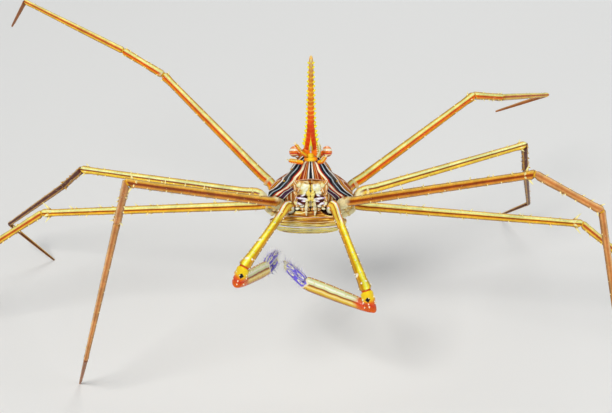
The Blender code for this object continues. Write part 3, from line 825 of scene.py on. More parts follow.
def dot_group():
    """Scattered granules: a mask of small round dots and their soft height."""
    def fill(tree, place, scale, size):
        distance, tint = tree.texture("Voronoi", place, Scale=scale)[:2]
        kept = tree.maths("GREATER_THAN", tree.parts(tint)[0], 0.55)
        return distance.step(size * 0.6, size, 1.0, 0.0) * kept, distance.step(0.0, size, 1.0, 0.0)

    return new_group("Granules", (("Place", None), ("Scale", 900.0), ("Size", 0.25)), ("Mask", "Height"), fill)


def new_material(name, roughness=0.4, coat=0.05):
    """The tree of a new skin, which knows the surface's own place, its grain and its spine tips."""
    made = bpy.data.materials.new(name)
    made.use_nodes = True
    tree = Tree(made.node_tree)
    tree.material, tree.shader = made, made.node_tree.nodes["Principled BSDF"]
    for label, value in (("Roughness", roughness), ("Coat Weight", coat), ("Coat Roughness", 0.18),
                         ("Specular IOR Level", 0.16)):
        tree.shader.inputs[label].default_value = value
    tree.here = tree.field("TexCoord", output="Object")
    tree.skin = tree.grain()
    tree.tip = tree.attribute("tip", "Fac")
    return tree


def roughen(form, start, centre, amount, scale):
    """Moves the points added since start in or out from the centre, so that a lobe is never quite round."""
    for index in range(start, len(form.points)):
        offset = form.points[index] - centre
        swell = noise.noise(form.points[index] * scale) * amount
        form.points[index] = form.points[index] + offset.normalized() * swell


def slant_place(tree):
    """Distance to the side, height up the slanting flank and lean to one side, in millimetres."""
    lean = tree.parts(tree.here)[0] / MM - SHIFT.x
    rise = tree.field("VectorMath", tree.here, FLANK_SLANT, output="Value", operation="DOT_PRODUCT")
    base = (SHIFT + Vector((0.0, 0.0, THORAX_HEIGHT))).dot(FLANK_SLANT) - 0.455 * THORAX_U
    return abs(lean), rise / MM - base, lean


def turn_of(tree):
    """Turn around a limb in degrees: 0 on its front and back, 90 on its upper edge, -90 on its lower one."""
    _, sine, reach = tree.place()
    return tree.maths("ARCSINE", sine) * math.degrees(1.0), reach


def limb_material(name, stops, lines, far, knuckle, wander=10.0, granule=None, base=None, base_reach=1.6,
                  near_stops=None):
    """Striped limb skin; stops run with the turn, from -90 to 90 degrees; base is the colour at the hip."""
    tree = new_material(name, 0.34)
    turn, reach = turn_of(tree)
    wobble = tree.wobble(260.0, wander)
    colour = (turn + wobble).around(stops)
    if near_stops:
        colour = colour.fade((turn + wobble).around(near_stops), reach + wobble * 0.3, 6.0, 3.5)
    colour = colour.lines(turn, lines, wobble)
    if base:
        blotch = tree.mix(tree.skin[2].step(0.53, 0.64), base, (0.55, 0.28, 0.05))
        colour = colour.fade(blotch, reach + tree.skin[2] * 2.0, base_reach, base_reach - 1.4)
    colour = colour.toned(tree.skin[2].step(0.3, 0.7, 0.84, 1.12) * tree.skin[0].step(0.35, 0.65, 0.93, 1.07))
    height = tree.skin[1]
    if granule:
        scale, size, tint, strength = granule
        dots = tree.dots(scale, size)
        colour = colour.mix(tint, dots[0] * strength)
        height = height + dots[1]
    return tree.finish(tree.tips(colour, far, knuckle), height, 0.2)


# Properties


def colour_property(name, description, value):
    return bpy.props.FloatVectorProperty(name=name, description=description, default=rgba(value), size=4,
                                         subtype="COLOR", min=0.0, max=1.0)


class CrabColours(bpy.types.PropertyGroup):
    gold: colour_property("Gold", "Ground colour of the legs", (0.8, 0.42, 0.02))
    amber: colour_property("Amber", "Orange-yellow between the stripes", (0.82, 0.26, 0.005))
    # Pale: partly the legs' own pale stripe, partly a painted highlight of the light along their upper side
    pale: colour_property("Pale", "Greenish pale stripe along the upper side of a leg", (0.85, 0.86, 0.26))
    rust: colour_property("Rust", "Dark stripe along the middle of a leg", (0.36, 0.06, 0.004))
    yellow: colour_property("Yellow", "Bright yellow of arms and knees", (0.9, 0.82, 0.03))
    cream: colour_property("Cream", "Palest lines and spine tips", (0.95, 0.86, 0.6))
    white: colour_property("White", "White borders beside the black bands", (0.9, 0.88, 0.82))
    red: colour_property("Red", "Red line along the legs", (0.58, 0.028, 0.002))
    orange: colour_property("Orange", "Orange of the beak and joints", (0.86, 0.13, 0.003))
    brown: colour_property("Brown", "Brown ground of the shell", (0.33, 0.1, 0.022))
    black: colour_property("Black", "Black bands of the shell", (0.008, 0.007, 0.012))
    blue: colour_property("Pale blue", "Thin line inside the black bands", (0.45, 0.6, 0.72))
    violet: colour_property("Violet", "Fingers of the claws", (0.17, 0.13, 0.72))
    maroon: colour_property("Maroon", "Dark ends of the legs", (0.12, 0.022, 0.01))
    ivory: colour_property("Ivory", "Palms of the claws", (0.84, 0.81, 0.52))
    floor: colour_property("Floor", "Plain pale floor", (0.8, 0.8, 0.79))


class CrabSizes(bpy.types.PropertyGroup):
    limb_sides: bpy.props.IntProperty(
        name="Limb sides", description="Points around a leg", default=20, min=8, max=48)
    limb_pace: bpy.props.FloatProperty(
        name="Limb pace", description="Distance between rings along a leg, in millimetres",
        default=0.7, min=0.2, max=4.0)
    claw_hair: bpy.props.FloatProperty(
        name="Claw setae", description="Length of the stiff setae on the fingers",
        default=1.25 * MM, unit="LENGTH", subtype="DISTANCE")
    leg_hair: bpy.props.FloatProperty(
        name="Leg setae", description="Length of the fine setae along the legs",
        default=0.55 * MM, unit="LENGTH", subtype="DISTANCE")
    light_strength: bpy.props.FloatProperty(
        name="Key light", description="Power of the main soft light", default=3.2, unit="POWER")


def own_properties(group):
    return [name for name in group.bl_rna.properties.keys() if name not in ("rna_type", "name")]


def settings():
    """The sizes, and the colours as vectors that can be made lighter or darker."""
    group = bpy.context.scene.arrow_crab_colours
    colours = {name: Vector(getattr(group, name)[:3]) for name in own_properties(group)}
    return bpy.context.scene.arrow_crab_sizes, SimpleNamespace(**colours)


# Shell


def shell_profile(values):
    """Half of a shell ring from the top line to the bottom line: (lane, v, w)."""
    wide, top, middle, below, bottom = values
    half = []
    for step in range(SHELL_ARC_STEPS + 1):
        angle = math.pi / 2.0 * (1.0 - step / SHELL_ARC_STEPS)
        half.append((0.5 * step / SHELL_ARC_STEPS, middle + (top - middle) * math.sin(angle),
                     wide * math.cos(angle) ** 0.9))
    swell = (wide + below) / 2.0 + SHELL_SWELL
    for step in range(1, SHELL_SIDE_STEPS + 1):
        share = step / SHELL_SIDE_STEPS
        rest = 1 - share
        w = wide * rest ** 2 + 2 * share * rest * (2 * swell - (wide + below) / 2.0) + below * share ** 2
        half.append((0.5 + 0.3 * share, middle + (bottom - middle) * share, w))
    for step in range(1, SHELL_UNDER_STEPS + 1):
        share = step / SHELL_UNDER_STEPS
        half.append((0.8 + 0.2 * share, bottom, below * (1.0 - share)))
    return half


def shell_relief(u, lane, w):
    """Swellings and grooves of the shell regions, outwards, in millimetres."""
    rise = 0.3 * bump(u, 5.2, 2.2) * bump(lane, 0.3, 0.1)
    rise += 0.22 * bump(u, 12.6, 2.0) * bump(lane, 0.02, 0.14)
    rise += 0.2 * bump(u, 5.6, 1.3) * bump(lane, 0.0, 0.09)
    rise += 0.16 * bump(u, 13.2, 1.3) * bump(lane, 0.36, 0.08)
    neck = 10.2 - 5.5 * max(lane - 0.05, 0.0)
    rise -= 0.3 * bump(u, neck, 0.55) * (1.0 - smooth_step(0.42, 0.55, lane))
    rise -= 0.16 * bump(lane, 0.17, 0.03) * (1.0 - smooth_step(8.5, 10.5, u))
    rise += 0.14 * bump(lane, 0.655, 0.025) * smooth_step(5.0, 8.0, u)
    rise -= 0.1 * bump(lane, 0.72, 0.03) * smooth_step(5.0, 8.0, u)
    rise += 0.05 * noise.noise(Vector((u * 0.7, w * 0.7, lane * 4.0)))
    return rise


def build_shell(colours):
    form = Form()
    rings = []
    for u, values in rows_along(CARAPACE_STATIONS, SHELL_ROWS):
        half = shell_profile(values)
        centre_v = (half[0][1] + half[-1][1]) / 2.0
        points = [(lane, v, w, LEFT) for lane, v, w in half]
        points += [(lane, v, w, RIGHT) for lane, v, w in reversed(half[1:-1])]
        ring = []
        for lane, v, w, side in points:
            out = Vector((v - centre_v, w)).normalized()
            rise = shell_relief(u, lane, side * w)
            point = body_point(u, v + out.x * rise, side * (w + out.y * rise))
            ring.append(form.add(point, (lane, u, side * w)))
        rings.append(ring)
    form.skin(rings, AXIS_U * -0.35, AXIS_U * 0.2, 0.8)
    add_shell_spines(form)
    start = len(form.points)
    bar = [body_point(17.35, 2.4, w) for w in (-1.1, -0.6, 0.0, 0.6, 1.1)]
    limb(form, bar, (0.3, 0.42, 0.4, 0.42, 0.3), 14, 0.3, collars=(0.0, 0.0), ripple=0.1)
    form.ball(body_point(17.9, 2.75, 0.0), (0.62, 0.5, 0.45), (Vector((1, 0, 0)), AXIS_U, AXIS_V))
    form.tip[start:] = [-1.0] * (len(form.points) - start)
    make_piece("carapace", form, shell_material(colours))


def shell_surface(u, lane, side):
    """A point on the shell and its outward direction."""
    half = shell_profile(station_at(CARAPACE_STATIONS, u))
    place = min(range(len(half)), key=lambda index: abs(half[index][0] - lane))
    _, v, w = half[place]
    centre_v = (half[0][1] + half[-1][1]) / 2.0
    return body_point(u, v, side * w), body_direction(0.0, v - centre_v, side * w)


def add_shell_spines(form):
    """Small spines behind the eyes, over the gill chambers and along the middle of the back."""
    for u, lane, height, radius in SHELL_SPINES:
        for side, _ in SIDES:
            point, out = shell_surface(u, lane, side)
            form.spike(point, out + AXIS_U * 0.5, height, radius, (lane, u, side))
    for u, height in MIDLINE_SPINES:
        point, out = shell_surface(u, 0.0, LEFT)
        form.spike(point, out + AXIS_U * 0.4, height, 0.2, (0.0, u, 0.0))


def shell_material(colours):
    """Brown shell: straight black bands on the flanks, fine gold and dark lines over the back."""
    tree = new_material("crab shell", 0.4, 0.04)
    lane, u, _ = tree.place()
    across, height, lean = slant_place(tree)
    gold, cream, white, black = colours.gold, colours.cream, colours.white, colours.black
    brown, orange, red, blue = colours.brown, colours.orange, colours.red, colours.blue
    maroon = colours.maroon
    # The back: nested lines that run together at the beak
    wobble = tree.wobble(330.0, 0.05)
    narrow = lane + u.step(12.8, 17.2, 0.0, -0.14)
    back = (lane + wobble).ramp((
        (0.0, brown * 0.5), (0.1, brown), (0.26, brown * 1.3), (0.36, orange * 0.6), (0.44, brown),
        (1.0, brown)))
    back = back.lines(narrow, (
        (0.0, 0.005, black * 3.0, 0.9), (0.016, 0.004, gold, 0.8), (0.033, 0.005, black * 3.0, 0.8),
        (0.055, 0.007, cream, 0.9), (0.09, 0.012, black * 2.0, 0.9), (0.125, 0.006, gold, 0.9),
        (0.175, 0.006, gold, 0.9), (0.2, 0.01, black * 2.0, 0.8), (0.225, 0.006, cream, 0.9),
        (0.27, 0.005, gold, 0.8), (0.3, 0.008, brown * 0.3, 0.9), (0.335, 0.006, cream, 0.8)), wobble)
    # The flank: bands that run straight from the eyes down to the legs
    level = height + lean * 0.055 + tree.wobble(420.0, 0.35)
    centre = (level - 9.25) * -0.95 + 1.5
    for low, high, start, end in ((6.2, 7.0, -0.3, 0.0), (4.0, 5.2, 0.6, 0.0), (8.0, 9.6, 0.0, 0.4)):
        centre = centre + level.step(low, high, start, end)
    away = (across - centre) / level.step(7.6, 9.6, 1.0, 0.7)
    flank = away.step(-4.0, 4.0).ramp((
        (0.0, orange * 0.45), (0.3, red * 0.8), (0.4, red * 0.9), (0.58, brown * 0.9), (0.64, red * 0.55),
        (0.7, orange * 0.55), (1.0, brown * 1.1)))
    flank = flank.lines(away, (
        (0.0, 0.72, black, 1.0), (-0.06, 0.1, blue, 1.0), (0.86, 0.13, white, 1.0),
        (-1.12, 0.27, cream, 1.0), (-0.84, 0.1, red, 1.0), (1.34, 0.09, gold, 0.9),
        (1.12, 0.07, brown * 0.3, 0.8), (1.78, 0.08, cream, 0.7), (2.2, 0.1, brown * 0.35, 0.8),
        (2.6, 0.07, gold, 0.8)))
    # The brow plate between the bands: lines that fan out from the eyes
    fan = across / (height * -0.1 + 1.17) + tree.wobble(700.0, 0.25)
    brow = fan.step(0.0, 5.0).ramp((
        (0.0, black), (0.24, brown * 0.7), (0.36, orange * 0.5), (0.6, red * 0.6), (1.0, orange * 0.45)))
    brow = brow.lines(fan, (
        (0.0, 0.5, black, 1.0), (0.84, 0.26, white, 1.0), (1.3, 0.14, brown * 0.5, 0.8),
        (1.75, 0.16, (0.72, 0.26, 0.05), 0.8), (2.6, 0.14, (0.8, 0.5, 0.24), 0.8),
        (3.3, 0.16, maroon, 0.8), (4.0, 0.16, gold, 0.8)))
    # Around the mouth: gold brown with fine pleats
    arch = height + across * across * 0.05
    rays = tree.texture("Wave", tree.stretched((900.0, 300.0, 500.0)), Scale=0.5, Distortion=5.0)[1]
    mouth = rays.ramp((
        (0.0, brown * 0.8), (0.4, orange * 0.5), (0.7, gold * 0.7), (1.0, cream * 0.8)))
    mouth = mouth.lines(arch, (
        (6.75, 0.07, (0.75, 0.42, 0.3), 1.0), (6.55, 0.08, brown * 0.5, 1.0), (6.25, 0.07, gold, 0.8),
        (5.95, 0.08, brown * 0.6, 0.8)))
    below = tree.grain(700.0)[2].ramp((
        (0.42, maroon * 0.8), (0.5, (0.42, 0.13, 0.03)), (0.62, (0.72, 0.46, 0.16))))
    mouth = mouth.fade(below, height, 3.4, 2.4)
    inner = mouth.fade(brow, arch, 6.7, 6.85)
    # Red and violet patches low on the flank
    patch = tree.mix(away.step(-1.45, -1.75), red * 1.3, maroon * 0.55)
    patch = patch.lines(away, (
        (-1.95, 0.08, white, 0.9), (-2.5, 0.3, (0.05, 0.01, 0.07), 1.0), (-2.95, 0.09, white, 0.8)))
    front = flank.mix(inner, away.step(-1.36, -1.44) * across.step(4.3, 3.9))
    front = front.mix(patch, height.step(5.6, 5.0) * away.step(-3.4, -3.1) * away.step(-1.3, -1.42))
    colour = back.fade(front, lane, 0.33, 0.35)
    # The brow between the eyes is orange with a lilac line
    tipped = tree.mix(across.step(0.1, 0.16), (0.7, 0.62, 0.85), (0.88, 0.2, 0.005))
    colour = colour.fade(tipped, u, 17.5, 17.8).mottled()
    bar = across.step(0.0, 1.2).ramp((
        (0.0, (0.93, 0.66, 0.03)), (0.3, (0.93, 0.5, 0.01)), (0.62, (0.9, 0.34, 0.008)),
        (1.0, (0.86, 0.2, 0.005))))
    return tree.finish(tree.tips(colour, gold, bar, 0.5), tree.skin[1], 0.2)


def build_sternum(colours):
    """Plates between the leg bases, with a suture for each leg."""
    form = Form()
    rings = []
    whole = list(STERNUM_PROFILE) + [(-share, level) for share, level in reversed(STERNUM_PROFILE[:-1])]
    whole += [(-0.5, 0.0), (0.0, 0.0), (0.5, 0.0)]
    for u, (wide, bottom) in rows_along(STERNUM_STATIONS, STERNUM_ROWS):
        groove = 0.18 * sum(bump(u, seam, 0.16) for seam in STERNUM_SEAMS)
        rings.append([form.add(body_point(u, bottom * level + groove * level, (wide - groove) * share),
                               (share, u, level)) for share, level in whole])
    form.skin(rings)
    tree = new_material("crab sternum", 0.5)
    _, u, _ = tree.place()
    colour = tree.skin[2].ramp(((0.3, colours.ivory * 0.75), (0.7, colours.cream * 0.85)))
    colour = colour.lines(u, [(seam, 0.1, colours.brown * 1.4, 0.8) for seam in STERNUM_SEAMS])
    colour = colour.fade(colours.maroon * 0.25, u, 7.6, 7.9)
    make_piece("sternum", form, tree.finish(colour, tree.skin[1]))


def build_abdomen(colours):
    """Broad tail flap folded under the thorax: a dome of plates with raised hind edges."""
    form = Form()
    rings = []
    for u, (wide, edge, depth) in rows_along(ABDOMEN_STATIONS, ABDOMEN_ROWS):
        ring = []
        for step in range(ABDOMEN_ARC_STEPS + 1):
            angle = math.pi * step / ABDOMEN_ARC_STEPS
            lift, side = math.sin(angle), math.cos(angle)
            plate = sum(-0.07 * bump(u, seam + 0.35 * (1.0 - lift), 0.1) + 0.04 * bump(u, seam - 0.2, 0.12)
                        for seam in ABDOMEN_SEAMS)
            ribs = 0.04 * bump(abs(side), 0.42, 0.05) - 0.06 * bump(abs(side), 0.52, 0.04)
            fall = depth * max(lift, 0.0) ** 0.75
            fall += (plate + ribs) * smooth_step(0.0, 0.4, lift) * min(1.0, depth)
            point = body_point(u, edge - fall, ABDOMEN_SIDE_SHIFT + wide * side)
            ring.append(form.add(point, (side, u, lift)))
        for share in (-0.55, 0.0, 0.55):
            point = body_point(u, edge + 0.02, ABDOMEN_SIDE_SHIFT + wide * share)
            ring.append(form.add(point, (share, u, -1.0)))
        rings.append(ring)
    form.skin(rings, inset=0.8)
    make_piece("abdomen", form, abdomen_material(colours))


def abdomen_material(colours):
    """Gold-brown plates crossed by wavy cream lines, then a lilac-white line and a yellow-green rim."""
    tree = new_material("crab tail flap", 0.3, 0.2)
    across, height, _ = slant_place(tree)
    brown = colours.brown
    bend = height + across * across * -0.012
    colour = bend.step(-3.0, 1.6).ramp((
        (0.0, (0.78, 0.5, 0.01)), (0.1, (0.84, 0.64, 0.03)), (0.2, (0.72, 0.66, 0.1)),
        (0.3, (0.6, 0.56, 0.12)), (0.4, (0.62, 0.36, 0.03)), (0.46, (0.52, 0.24, 0.012)),
        (0.6, (0.56, 0.24, 0.01)), (0.84, (0.6, 0.24, 0.012)), (1.0, brown * 1.3)))
    streak = tree.texture("Noise", tree.stretched((330.0, 2600.0, 4200.0)), Scale=1.0, Detail=1.0)[0]
    colour = colour.fade((0.84, 0.66, 0.14), streak, 0.54, 0.58, 0.0, 0.9)
    colour = colour.fade((0.9, 0.86, 0.56), streak, 0.63, 0.66, 0.0, 0.9)
    colour = colour.fade(brown * 0.6, streak, 0.46, 0.4, 0.0, 0.85)
    colour = colour.lines(bend, (
        (-1.05, 0.05, (0.88, 0.74, 0.3), 0.6), (-0.62, 0.045, colours.cream, 0.5),
        (0.25, 0.04, (0.88, 0.84, 0.86), 0.5)), tree.wobble(420.0, 0.45))
    colour = colour.lines(bend, (
        (-1.58, 0.09, (0.92, 0.88, 0.96), 1.0), (-1.95, 0.06, (0.8, 0.85, 0.5), 0.8),
        (-2.25, 0.06, (0.84, 0.8, 0.25), 0.8), (-1.38, 0.05, brown * 0.9, 0.8)), tree.wobble(250.0, 0.12))
    return tree.finish(colour.mottled(), tree.skin[1] + streak, 0.2)


# Beak, eyes, feelers


def rostrum_frame():
    lift = math.radians(ROSTRUM_LIFT)
    along = AXIS_U * math.cos(lift) + AXIS_V * math.sin(lift)
    return body_point(ROSTRUM_BASE[0], ROSTRUM_BASE[1], 0.0), along, Vector((1.0, 0.0, 0.0))


def build_rostrum(colours):
    form = Form()
    origin, along, across = rostrum_frame()
    under = across.cross(along)
    rings = []
    length = ROSTRUM_STATIONS[-1][0]
    for reach, (wide, deep) in rows_along(ROSTRUM_STATIONS, ROSTRUM_ROWS):
        wide *= 1.0 + 0.1 * smooth_step(3.0, 6.0, reach)
        keel = 0.16 * (1.0 - smooth_step(1.5, 5.0, reach)) + 0.02
        wave = 1.0 + 0.05 * math.cos((reach - ROSTRUM_SPINE_FIRST) * 2.0 * math.pi / ROSTRUM_SPINE_PITCH)
        ring = []
        for turn, cosine, sine in turns(ROSTRUM_SIDES, 0.0):
            out = deep * sine * (1.0 if sine > 0 else 0.9) + keel * bump(turn, math.pi / 2.0, 0.35)
            ring.append(form.add(origin + along * reach + across * (wide * cosine * wave) + under * out,
                                 (cosine, sine, reach)))
        rings.append(ring)
    form.skin(rings, last=along * 0.08)
    for index in range(ROSTRUM_SPINES):
        reach = ROSTRUM_SPINE_FIRST + ROSTRUM_SPINE_PITCH * index
        share = index / (ROSTRUM_SPINES - 1)
        wide, _ = station_at(ROSTRUM_STATIONS, min(reach, length))
        size = 0.33 - 0.13 * share
        for side, _ in SIDES:
            spot = reach + random.uniform(-0.08, 0.08)
            bead = origin + along * spot + across * (side * wide * 0.93) + under * 0.1
            start = len(form.points)
            form.ball(bead, (size * 1.15, size, size), (along, across, under), (side, 0.2, reach), 0.9, 8, 12)
            roughen(form, start, bead, 0.05, 4.0)
            form.spike(bead + across * (side * size * 0.6), across * side + along * 0.9 + under * 0.1,
                       (0.36 - 0.1 * share) * random.uniform(0.8, 1.2), size * 0.62, (side, 0.2, reach),
                       bend=along * 0.3, sides=8)
    for index in range(16):
        reach = 1.4 + 1.2 * index
        _, deep = station_at(ROSTRUM_STATIONS, reach)
        for side, _ in SIDES:
            root = origin + along * reach - under * (deep * 0.75) + across * (side * 0.12)
            form.spike(root, -under + along * 0.8 + across * (side * 0.5), 0.32, 0.12, (side, -0.6, reach))
    make_piece("rostrum", form, rostrum_material(colours))


def rostrum_material(colours):
    """Red beak with yellow beads along both sides and a short yellow keel; tan towards the tip."""
    tree = new_material("crab beak", 0.34)
    across, under, reach = tree.place()
    yellow = colours.yellow
    colour = (reach / 22.0).ramp((
        (0.0, (0.7, 0.04, 0.001)), (0.22, (0.84, 0.045, 0.001)), (0.4, (0.86, 0.11, 0.002)),
        (0.56, (0.82, 0.22, 0.003)), (0.72, (0.76, 0.27, 0.015)), (0.84, (0.72, 0.36, 0.09)),
        (0.94, (0.82, 0.64, 0.26))))
    rim = abs(across)
    front = under.step(-0.1, 0.3)
    colour = colour.fade(colours.orange * 1.05, rim, 0.62, 0.86)
    colour = colour.fade(yellow * 0.95, rim, 0.86, 0.97)
    keel_width = reach.step(0.3, 3.6, 0.34, 0.02)
    keel = rim.step(keel_width * 0.7, keel_width, 1.0, 0.0) * reach.step(4.2, 3.4)
    colour = colour.mix(yellow * 0.95, keel * front)
    pale = rim.step(0.05, 0.12, 1.0, 0.0) * reach.step(1.6, 0.9)
    colour = colour.mix((0.72, 0.62, 0.88), pale * front)
    rings = tree.maths("COSINE", (reach - ROSTRUM_SPINE_FIRST) * (2.0 * math.pi / ROSTRUM_SPINE_PITCH))
    beads = rings.step(0.0, 1.0, 0.0, 0.7) * reach.step(6.0, 10.0, 0.15, 1.0)
    colour = colour.mix((0.95, 0.48, 0.05), beads).mottled()
    return tree.finish(colour.fade(yellow * 1.05, tree.tip, 0.0, 0.3), tree.skin[1], 0.3)


def eye_material(colours):
    """Glossy red-orange eye with a thick cream band and fine facets."""
    tree = new_material("crab eye", 0.12, 1.0)
    tree.shader.inputs["Coat Roughness"].default_value = 0.04
    height = tree.place()[2]
    colour = height.step(-1.0, 1.0).ramp((
        (0.0, colours.red * 0.5), (0.25, colours.red * 1.3), (0.5, (0.88, 0.11, 0.004)),
        (1.0, (0.92, 0.2, 0.006))))
    colour = colour.lines(height, (
        (-0.62, 0.1, (0.92, 0.62, 0.25), 0.8), (-0.16, 0.06, (0.92, 0.52, 0.05), 0.7),
        (0.27, 0.2, (0.96, 0.9, 0.66), 1.0), (0.72, 0.06, (0.92, 0.62, 0.25), 0.6)), tree.wobble(900.0, 0.12))
    facets = tree.texture("Voronoi", tree.here, Scale=16000.0)[0]
    return tree.finish(colour.fade(colours.orange * 0.9, tree.tip, 0.1, 0.6), facets, 0.08, 0.00002)


def build_eyes(colours):
    made = eye_material(colours)
    for side, word in SIDES:
        form = Form()
        root = body_point(EYE_ROOT[0], EYE_ROOT[1], side * EYE_ROOT[2])
        along = body_direction(EYE_AXIS[0], EYE_AXIS[1], side * EYE_AXIS[2])
        across = along.orthogonal().normalized()
        centre = root + along * EYE_CENTRE

        def eye_place(offset, way):
            return (way[0], way[1], offset.dot(EYE_UP) / EYE_RADIUS)

        form.ball(centre, (EYE_RADIUS, EYE_RADIUS, EYE_RADIUS * 0.88), (across, along.cross(across), along),
                  rows=18, sides=28, places=eye_place)
        start = len(form.points)
        limb(form, [root - along * 0.75, root - along * 0.2, centre - along * 0.45],
             (EYE_STALK * 1.15, EYE_STALK, EYE_STALK * 1.35), 16, 0.2, collars=(0.0, 0.0))
        form.tip[start:] = [0.8] * (len(form.points) - start)
        make_piece("eye_" + word, form, made, ending="_ball")


def build_feelers(colours):
    gold, red = colours.gold, colours.red
    warm = limb_material(
        "crab feelers", ((-90, red * 1.2), (-50, colours.orange), (0, (0.9, 0.3, 0.008)), (50, gold)),
        ((20, 22, (0.93, 0.6, 0.02), 0.8),), (0.95, 0.85, 0.5), red * 0.8)
    pale = limb_material(
        "crab feeler pale", ((-90, gold * 0.8), (0, (0.8, 0.76, 0.25)), (90, gold * 0.8)),
        ((20, 22, (0.92, 0.92, 0.62), 0.9),), (0.95, 0.92, 0.6), red * 0.8)
    for side, word in SIDES:
        for name, path, radii in (("antenna", ANTENNA_PATHS[side], ANTENNA_RADII),
                                  ("antennule", ANTENNULE_PATHS[side], ANTENNULE_RADII)):
            form = Form()
            points = [body_point(u, v, side * w) for u, v, w in path]
            limb(form, points, radii, 14, 0.16, collars=(0.0, 0.1), ripple=0.1)
            for share in (0.12, 0.32, 0.55, 0.78):
                for turn in (-60, 20, 95, 170):
                    point, out, along, place = on_limb(points[1], points[2], share, radii[1] * 0.85, turn)
                    form.spike(point, out + along * 0.8, 0.28, 0.12, place, sides=5)
            way = (points[-1] - points[-2]).normalized()
            for fork in (-0.3, 0.3):
                lean = (way + AXIS_U * 0.4 + Vector((side * fork, 0.0, 0.0))).normalized()
                form.spike(points[-1] - way * 0.15, lean, 0.8, 0.17, (1.0, 0.0, 0.0), bend=AXIS_U * 0.2)
            skin = pale if name == "antennule" and side == LEFT else warm
            make_piece("%s_%s" % (name, word), form, skin)


# Mouth


def face_point(reach, w, lift):
    """A point over the mouth field: reach up its slope, lift out of it."""
    slope = math.radians(FACE_SLOPE)
    u = FACE_ORIGIN[0] + reach * math.cos(slope) + lift * math.sin(slope)
    v = FACE_ORIGIN[1] + reach * math.sin(slope) - lift * math.cos(slope)
    return body_point(u, v, w)


def face_axes():
    slope = math.radians(FACE_SLOPE)
    along = body_direction(math.cos(slope), math.sin(slope), 0.0)
    out = body_direction(math.sin(slope), -math.cos(slope), 0.0)
    return along, out


def mouth_backing(form, side):
    """The closed, slightly swollen plate behind the lobes of one side."""
    low, high, inner, outer, edge, middle = MOUTH_BACKING
    rows, columns = 18, 14
    grid = []
    for row in range(rows + 1):
        reach = low + (high - low) * row / rows
        tall = 4.0 * row / rows * (1.0 - row / rows)
        line = []
        for column in range(columns + 1):
            share = column / columns
            dome = tall * 4.0 * share * (1.0 - share)
            w = inner + (outer - inner) * (0.5 + (share - 0.5) * (0.775 + 0.225 * tall ** 0.35))
            lift = edge * (1.0 if dome else 0.7) + (middle - edge) * dome ** 0.45 - 0.1 * bump(share, 0.3, 0.06)
            lift += 0.05 * noise.noise(Vector((w * 3.0, reach * 3.0, 0.0)))
            line.append(form.add(face_point(reach, side * w, lift), (w, reach, 5.0)))
        grid.append(line)
    for lower, upper in zip(grid, grid[1:]):
        for column in range(columns):
            form.faces.append((lower[column], lower[column + 1], upper[column + 1], upper[column]))
    rim = grid[0] + [line[-1] for line in grid[1:]] + grid[-1][-2::-1] + [line[0] for line in grid[-2:0:-1]]
    _, out = face_axes()
    back = [form.add(form.points[index] - out * (edge * 0.8), form.place[index]) for index in rim]
    form.tube((rim, back))
    form.faces.append(tuple(back))


def build_mouth(colours):
    material = mouth_material(colours)
    along, out = face_axes()
    for side, word in SIDES:
        form = Form()
        outward = Vector((side, 0.0, 0.0))
        for reach, w, lift, wide, tall, thick, turn, kind in MOUTH_LOBES:
            centre = face_point(reach, side * w, lift)
            lean = math.radians(turn)
            first = outward * math.cos(lean) + along * math.sin(lean)
            second = along * math.cos(lean) - outward * math.sin(lean)
            start = len(form.points)

            def lobe_place(offset, way):
                return (way[1], way[0], kind)

            form.ball(centre, (tall, wide, thick), (second, first, out), rows=14, sides=22, places=lobe_place)
            roughen(form, start, centre, 0.1, 2.4)
        start = len(form.points)
        palp = [face_point(reach, side * w, lift) for reach, w, lift in MOUTH_PALP]
        limb(form, palp, (0.2, 0.25, 0.22, 0.11), 12, 0.2, collars=(0.0, 0.05), ripple=0.12)
        form.place[start:] = [(across, rise, 4.0) for across, rise, _ in form.place[start:]]
        mouth_backing(form, side)
        make_piece("maxilliped_" + word, form, material)


def mouth_material(colours):
    """Creamy lobes, yellow inner lobes, lilac-white bars and brown outer plates on a dark ground."""
    tree = new_material("crab mouthparts", 0.36, 0.3)
    across, along, kind = tree.place()
    fine, relief, mottle = tree.grain(900.0)
    spots = tree.dots(1100.0, 0.3)
    rim = tree.maths("MAXIMUM", abs(across), abs(along))
    cream = mottle.ramp((
        (0.26, (0.62, 0.42, 0.05)), (0.4, (0.86, 0.8, 0.38)), (0.5, (0.9, 0.93, 0.7)),
        (0.68, (0.97, 0.99, 0.9))))
    yellow = fine.ramp(((0.3, (0.8, 0.55, 0.03)), (0.7, (0.95, 0.86, 0.3))))
    bars = tree.mix(across.step(0.3, 0.95), (0.92, 0.9, 0.97), (0.42, 0.26, 0.62))
    plates = mottle.ramp(((0.3, (0.42, 0.13, 0.02)), (0.7, (0.8, 0.42, 0.1))))
    plates = plates.lines(across, ((0.1, 0.16, colours.cream, 0.9), (-0.6, 0.1, (0.95, 0.62, 0.2), 0.8)))
    palps = fine.ramp(((0.3, (0.8, 0.62, 0.22)), (0.65, (0.95, 0.9, 0.66))))
    dark = mottle.ramp(((0.3, (0.05, 0.008, 0.006)), (0.7, (0.2, 0.035, 0.012))))
    ground = mottle.ramp(((0.3, (0.46, 0.2, 0.03)), (0.5, (0.75, 0.48, 0.14)), (0.7, (0.9, 0.78, 0.42))))
    dark = dark.fade(ground, along + tree.wobble(800.0, 1.0), 2.3, 2.6)
    colour = cream.fade((0.7, 0.42, 0.06), rim, 0.72, 0.98)
    for level, tint in ((0.5, yellow), (1.5, bars), (2.5, plates), (3.5, palps), (4.5, dark)):
        colour = colour.fade(tint, kind, level - 0.1, level + 0.1)
    return tree.finish(colour.toned(1.0 - spots[0] * 0.35), relief + spots[1], 0.35)


# Claws


